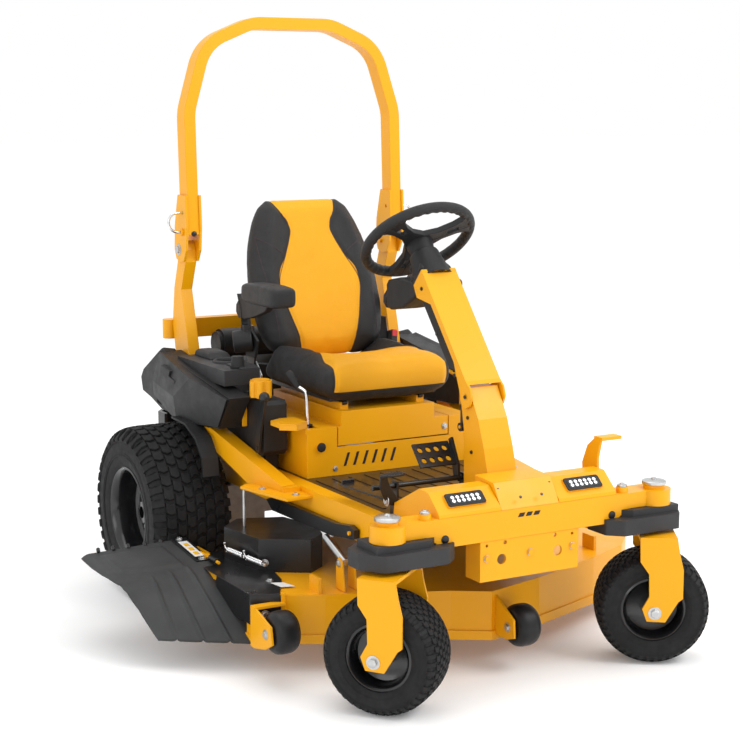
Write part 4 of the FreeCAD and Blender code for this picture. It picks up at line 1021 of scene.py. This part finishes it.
def make_chute():
    bm = bmesh.new()
    across = 96
    along = 64
    grid = [[bm.verts.new(chute_point(i / across, j / along)) for j in range(along + 1)]
            for i in range(across + 1)]
    for i in range(across):
        for j in range(along):
            bm.faces.new((grid[i][j], grid[i + 1][j], grid[i + 1][j + 1], grid[i][j + 1]))
    piece = emit("chute_skin", bm, CHUTE_RUBBER, "chute", smooth_angle=50)
    thick = piece.modifiers.new("thick", "SOLIDIFY")
    thick.thickness = 6 * MM
    thick.offset = -1
    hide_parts("discharge_chute")
    slope = Matrix.Translation((-631, -400, 258)) @ Matrix.Rotation(math.radians(6.6), 4, "X")
    solid("chute_leaf", BLACK_PAINT, "chute",
          *((lathe, [(-3, 0), (-3, 6), (8, 6), (11, 3), (11, 0)], (x, -306, 264), (0, 0.5, 1), 12)
            for x in (-690, -745, -800, -850, -900)),
          (block, (-26, 24), (-108, 94), (-1, 3), slope), bevel=0.8)
    solid("chute_knuckles", BLACK_PAINT, "chute",
          *((lathe, [(0, 0), (0, 9), (50, 9), (50, 0)], (CHUTE_HINGE_X, y, 254), (0, 1, 0), 20)
            for y in (-560, -352)), bevel=0.8)
    up = slope.to_3x3() @ Vector((0, 0, 1))
    bolts("chute_bolts", "chute", [(tuple(slope @ Vector((-2, y, 3))), tuple(up), 8, 7) for y in (-96, 82)])
    solid("blank_label", LABEL, "chute", (block, (-16, 14), (-74, 60), (3, 3.8), slope))
    solid("blank_label_stripes", STRIPE, "chute",
          *((block, (-9, 7), (-62 + 38 * i, -36 + 38 * i), (3.8, 4.2), slope) for i in range(3)))


make_chute()


def spring(bm, start, end, radius, turns, wire):
    start = Vector(start)
    ahead = Vector(end) - start
    side = ahead.normalized().orthogonal().normalized()
    other = ahead.normalized().cross(side)
    points = []
    for i in range(turns * 10 + 1):
        turn = TAU * i / 10
        points.append(start + ahead * (i / (turns * 10))
                      + (side * math.cos(turn) + other * math.sin(turn)) * radius)
    sweep(bm, points, wire, 6)


def make_deck_details():
    latch = bmesh.new()
    start = Vector((-566, -530, 280))
    end = Vector((-522, -716, 268))
    for low, high in ((0.04, 0.42), (0.54, 0.92)):
        first = start.lerp(end, low)
        last = start.lerp(end, high)
        way = (last - first).normalized()
        spring(latch, first, last, 7.5, 14, 2.3)
        hook = [first + way * 4, first - way * 10 + Vector((0, 0, 2)), first - way * 16 + Vector((0, 0, 12)),
                first - way * 8 + Vector((-6, 4, 18)), first + Vector((-4, 8, 20))]
        sweep(latch, smooth_path(hook, 4), 2.4, 8)
        sweep(latch, [first, last + way * 8], 3.5, 8)
        lathe(latch, [(-5, 0), (-5, 6), (5, 6), (5, 0)], last + way * 8, (0, 0, 1), 16)
    emit("cover_latches", latch, CHROME, "deck")
    face = [(-652, -640), (-653, -877), (-572, -919), (-569, -911), (-643, -869), (-643, -640)]
    solid("discharge_baffle", BLACK_PAINT, "deck",
          (prism, [(-606, -455), (-652, -470), (-652, -876), (-574, -916), (-500, -780), (-470, -640),
           (-500, -396), (-560, -396)], 234, 237, "top"),
          (loft, [(146, face), (226, face), (235, shrink(face, 1.5))], "top"), bevel=2.5)
    solid("baffle_flange", YELLOW, "deck",
          (prism, [(-572, -918), (-560, -925), (-556, -918), (-568, -911)], 130, 240, "top"), bevel=1)
    bolts("baffle_bolts", "deck", [((-612, -899, 176), (-0.46, -0.89, 0), 9, 6),
          ((-540, -780, 237), (0, 0, 1), 8, 7), ((-590, -500, 237), (0, 0, 1), 8, 6),
          ((-505, -676, 262), (-0.5, -0.8, 0), 8, 6)])
    solid("deck_link_rod", ZINC, "deck", (sweep, [(-490, -500, 332), (-490, -500, 452)], 5, 12))
    solid("deck_blank_label", LABEL, "deck",
          (prism, [(-548, -800), (-512, -816), (-500, -868), (-540, -856)], 237.2, 237.8, "top"))
    solid("lift_cylinder", ZINC, "deck", (sweep, [(-376, -828, 362), (-376, -950, 312)], 12, 20))
    solid("lift_ears", YELLOW, "deck",
          *((prism, [(-984, 234), (-932, 234), (-932, 312), (-948, 332), (-968, 322)], x, x + 5, "side")
            for x in (-398, -358)), bevel=1)
    bolts("lift_ear_bolts", "deck", [((-398, -950, 312), (-1, 0, 0), 8, 6)])


make_deck_details()


# ---- fenders, console and controls

FENDER_SIDE = [(-322, 615), (-118, 600), (150, 606), (270, 640), (279, 725), (141, 806), (-407, 725)]
FENDER_PANEL = [(508, 124, 808), (526, -172, 761), (502, -404, 722), (498, -326, 620), (522, -50, 596),
                (506, 186, 650), (514, 176, 702), (538, -62, 684)]


def make_fenders():
    for sign, side in SIDES:
        solid(f"fender_skin_{side}", BLACK_PLASTIC, "chassis",
              (loft, [(sign * 421, shrink(FENDER_SIDE, 1)), (sign * 470, FENDER_SIDE),
               (sign * 486, shrink(FENDER_SIDE, 2)), (sign * 492, shrink(FENDER_SIDE, 14))]), bevel=5)
        facet = bmesh.new()
        front = [facet.verts.new((sign * x, y, z)) for x, y, z in FENDER_PANEL]
        back = [facet.verts.new((sign * 480, y * 0.97, 690 + (z - 690) * 0.94))
                for x, y, z in FENDER_PANEL[:7]]
        for corners in ((0, 1, 7, 6), (6, 7, 4, 5), (1, 2, 3, 4, 7)):
            facet.faces.new([front[k] for k in corners])
        for k in range(7):
            m = (k + 1) % 7
            facet.faces.new((front[k], front[m], back[m], back[k]))
        facet.faces.new(back)
        emit(f"fender_facets_{side}", facet, BLACK_PLASTIC, "chassis", bevel=2, smooth_angle=6)
        mark = [(72, 742), (-52, 716), (-64, 736), (-12, 746), (-20, 764), (58, 776)]
        solid(f"fender_notch_{side}", BLACK_PLASTIC, "chassis",
              (loft, [(sign * 512, mark), (sign * 530.5, shrink(mark, 3))]), bevel=1.5)
        crest = [(120, 800), (142, 820), (290, 736), (318, 700), (300, 640), (150, 612), (128, 700)]
        solid(f"fender_rear_{side}", BLACK_PLASTIC, "chassis",
              (loft, [(sign * 440, shrink(crest, 6)), (sign * 486, crest), (sign * 505, shrink(crest, 14))]),
              bevel=4)


def make_console():
    solid("cup_ring", GREY_PLASTIC, "chassis",
          (ring, [(800.2, 40.5), (806, 42), (809, 46), (806, 51), (800.2, 53)], (-376, -150, 0), (0, 0, 1),
           48))
    solid("console_hump", GREY_PLASTIC, "chassis",
          (loft, [(800, [(-414, -86), (-334, -90), (-330, 14), (-362, 46), (-414, 46)]),
                  (818, [(-412, -70), (-344, -74), (-340, 8), (-366, 36), (-412, 36)]),
                  (824, [(-404, -56), (-354, -60), (-350, 0), (-370, 24), (-404, 24)])], "top"),
          (loft, [(800, [(-414, -320), (-346, -320), (-332, -262), (-336, -212), (-414, -206)]),
                  (806, [(-410, -314), (-350, -314), (-338, -262), (-342, -216), (-410, -210)])], "top"),
          bevel=5)
    solid("fender_deck_plugs", BLACK_PLASTIC, "chassis",
          *((lathe, [(0, 0), (0, 9), (2.5, 8), (3.5, 0)], (x, y, 718 + (y + 350) * 0.148), (0, -0.15, 1), 20)
            for x, y in ((-440, -318), (-412, -300), (-440, -262), (-408, -236))))


def make_drive_pedal():
    pad = [(-308 + 41 * math.cos(TAU * i / 28), -1108 + 21 * math.sin(TAU * i / 28)) for i in range(28)]
    heel = [(-352, -868), (-336, -856), (-300, -856), (-290, -870), (-298, -960), (-304, -1093),
            (-320, -1100), (-334, -1060), (-342, -960)]
    piece = solid("drive_pedal_form", BLACK_PAINT, "drive",
                  (prism, pad, 596, 602, "top"),
                  *((prism, [(x, -1123), (x + 3.5, -1123), (x + 3.5, -1093), (x, -1093)], 601.5, 604, "top")
                    for x in range(-335, -272, 9)),
                  (prism, [(-345, 597), (-322, 597), (-318, 578), (-308, 556), (-292, 534), (-280, 518),
                   (-290, 508), (-306, 506), (-322, 514), (-336, 536), (-345, 562)], -1100, -1094, "front"),
                  (prism, heel, 524, 529, "top"),
                  (prism, [(-868, 529), (-862, 529), (-862, 540), (-868, 538)], -340, -300), bevel=1.5)
    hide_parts("drive_pedal")
    bolts("drive_pedal_bolt", "drive", [((-320, -1093, 520), (-1, 0, 0), 10, 7)])


def make_controls():
    path = smooth_path([(-267, -506, 606), (-267, -498, 680), (-267, -492, 734), (-271, -484, 746),
                        (-283, -462, 757)], 6)
    piece = solid("side_lever_rod", CHROME, "seat_lever", (sweep, path, 5.5, 14))
    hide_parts("side_lever")
    low = Vector((-281, -466, 752))
    high = Vector((-300, -430, 800))
    solid("side_lever_grip", BLACK_PLASTIC, "seat_lever",
          (lathe, [(0, 0), (0, 9), (6, 11), (40, 12.5), (56, 13.5), (62, 10), (64, 0)], low, high - low, 24))
    solid("lever_slot_rim", BLACK_PLASTIC, "chassis",
          (lathe, [(0, 0), (0, 17), (3, 17), (5, 12), (5, 5.6), (0, 5.6)], (-267, -500, 635), (0, 0, 1), 24))
    solid("wing_lip", YELLOW, "chassis",
          (prism, [(-300, -562), (-350, -590), (-392, -552), (-388, -548), (-350, -584), (-300, -557)], 640,
           657, "top"),
          (prism, [(-392, -552), (-392, -492), (-387, -492), (-387, -550)], 646, 657, "top"), bevel=1)
    solid("seat_box_plug", BLACK_PLASTIC, "chassis",
          (lathe, [(0, 0), (0, 15), (3, 15), (5, 11), (5, 0)], (-253, -568.2, 575), (0, -1, 0), 32))
    solid("panel_stripes", BLACK_PLASTIC, "chassis",
          *((prism, [(x, 506), (x + 9, 506), (x + 23, 548), (x + 14, 548)], -563, -562.1, "front")
            for x in range(-170, 34, 34)))
    solid("beam_stripes", BLACK_PLASTIC, "chassis",
          *((prism, [(x, 496), (x + 18, 496), (x + 24, 507), (x + 6, 507)], -1353, -1352.1, "front")
            for x in range(-44, 34, 26)))
    for sign, side in SIDES:
        path = smooth_path([(sign * 376, 103, 1276), (sign * 440, 103, 1276), (sign * 462, 103, 1270),
                            (sign * 474, 103, 1250), (sign * 470, 103, 1228), (sign * 454, 103, 1214),
                            (sign * 434, 103, 1211), (sign * 425, 103, 1211)], 6)
        piece = solid(f"lock_pin_loop_{side}", CHROME, f"{side}_pin", (sweep, path, 4.8, 14), slot="zinc")
        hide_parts(f"lock_pin_{side}")
        solid(f"pin_boss_{side}", YELLOW, "roll_bar",
              (lathe, [(0, 0), (0, 12), (6, 12), (9, 9), (9, 5.5), (0, 5.5)], (sign * 423.5, 103, 1211),
               (sign, 0, 0), 24), bevel=1)
        solid(f"stop_bolt_{side}", BLACK_PAINT, "roll_bar",
              (lathe, [(0, 0), (0, 9), (5, 9), (7, 6), (7, 0)], (sign * 395, 76, 1206), (0, -1, 0.1), 20))


make_fenders()
make_console()
make_drive_pedal()
make_controls()


# ---- floor, light

def make_stage():
    mesh = bpy.data.meshes.new("floor")
    mesh.from_pydata([(FLOOR * x, FLOOR * y, 0) for x, y in ((-1, -1), (1, -1), (1, 1), (-1, 1))], [],
                     [(0, 1, 2, 3)])
    floor = bpy.data.objects.new("floor", mesh)
    bpy.context.collection.objects.link(floor)
    look = Look("pale_floor")
    tone = look.blend(look.noise(8.0), (0.92, 0.92, 0.92), (0.95, 0.95, 0.95))
    mesh.materials.append(look.finish(Base_Color=tone, Roughness=1.0, Specular_IOR_Level=0.0,
                                      Emission_Color=(1, 1, 1, 1), Emission_Strength=0.08))


def area_light(name, location, target, size, power_watts, color=(1, 1, 1)):
    data = bpy.data.lights.new(name, "AREA")
    data.shape = "RECTANGLE"
    data.size, data.size_y = size
    data.energy = power_watts
    data.color = color
    light = bpy.data.objects.new(name, data)
    light.location = location
    light.rotation_euler = (Vector(target) - Vector(location)).to_track_quat("-Z", "Y").to_euler()
    bpy.context.collection.objects.link(light)


def make_light():
    world = bpy.data.worlds.new("studio")
    bpy.context.scene.world = world
    world.use_nodes = True
    background = world.node_tree.nodes["Background"]
    background.inputs[0].default_value = (1, 1, 1, 1)
    background.inputs[1].default_value = 1.0
    area_light("key", (2.6, -3.4, 4.2), (0, -0.2, 0.6), (3.0, 2.0), 120)
    area_light("left_fill", (-5.0, -2.0, 2.4), (0, 0, 0.7), (3.0, 2.5), 35)
    area_light("top_fill", (0, 0.5, 5.0), (0, 0, 0.5), (4.0, 4.0), 60)
    bpy.context.scene.view_settings.view_transform = "Standard"


make_stage()
make_light()
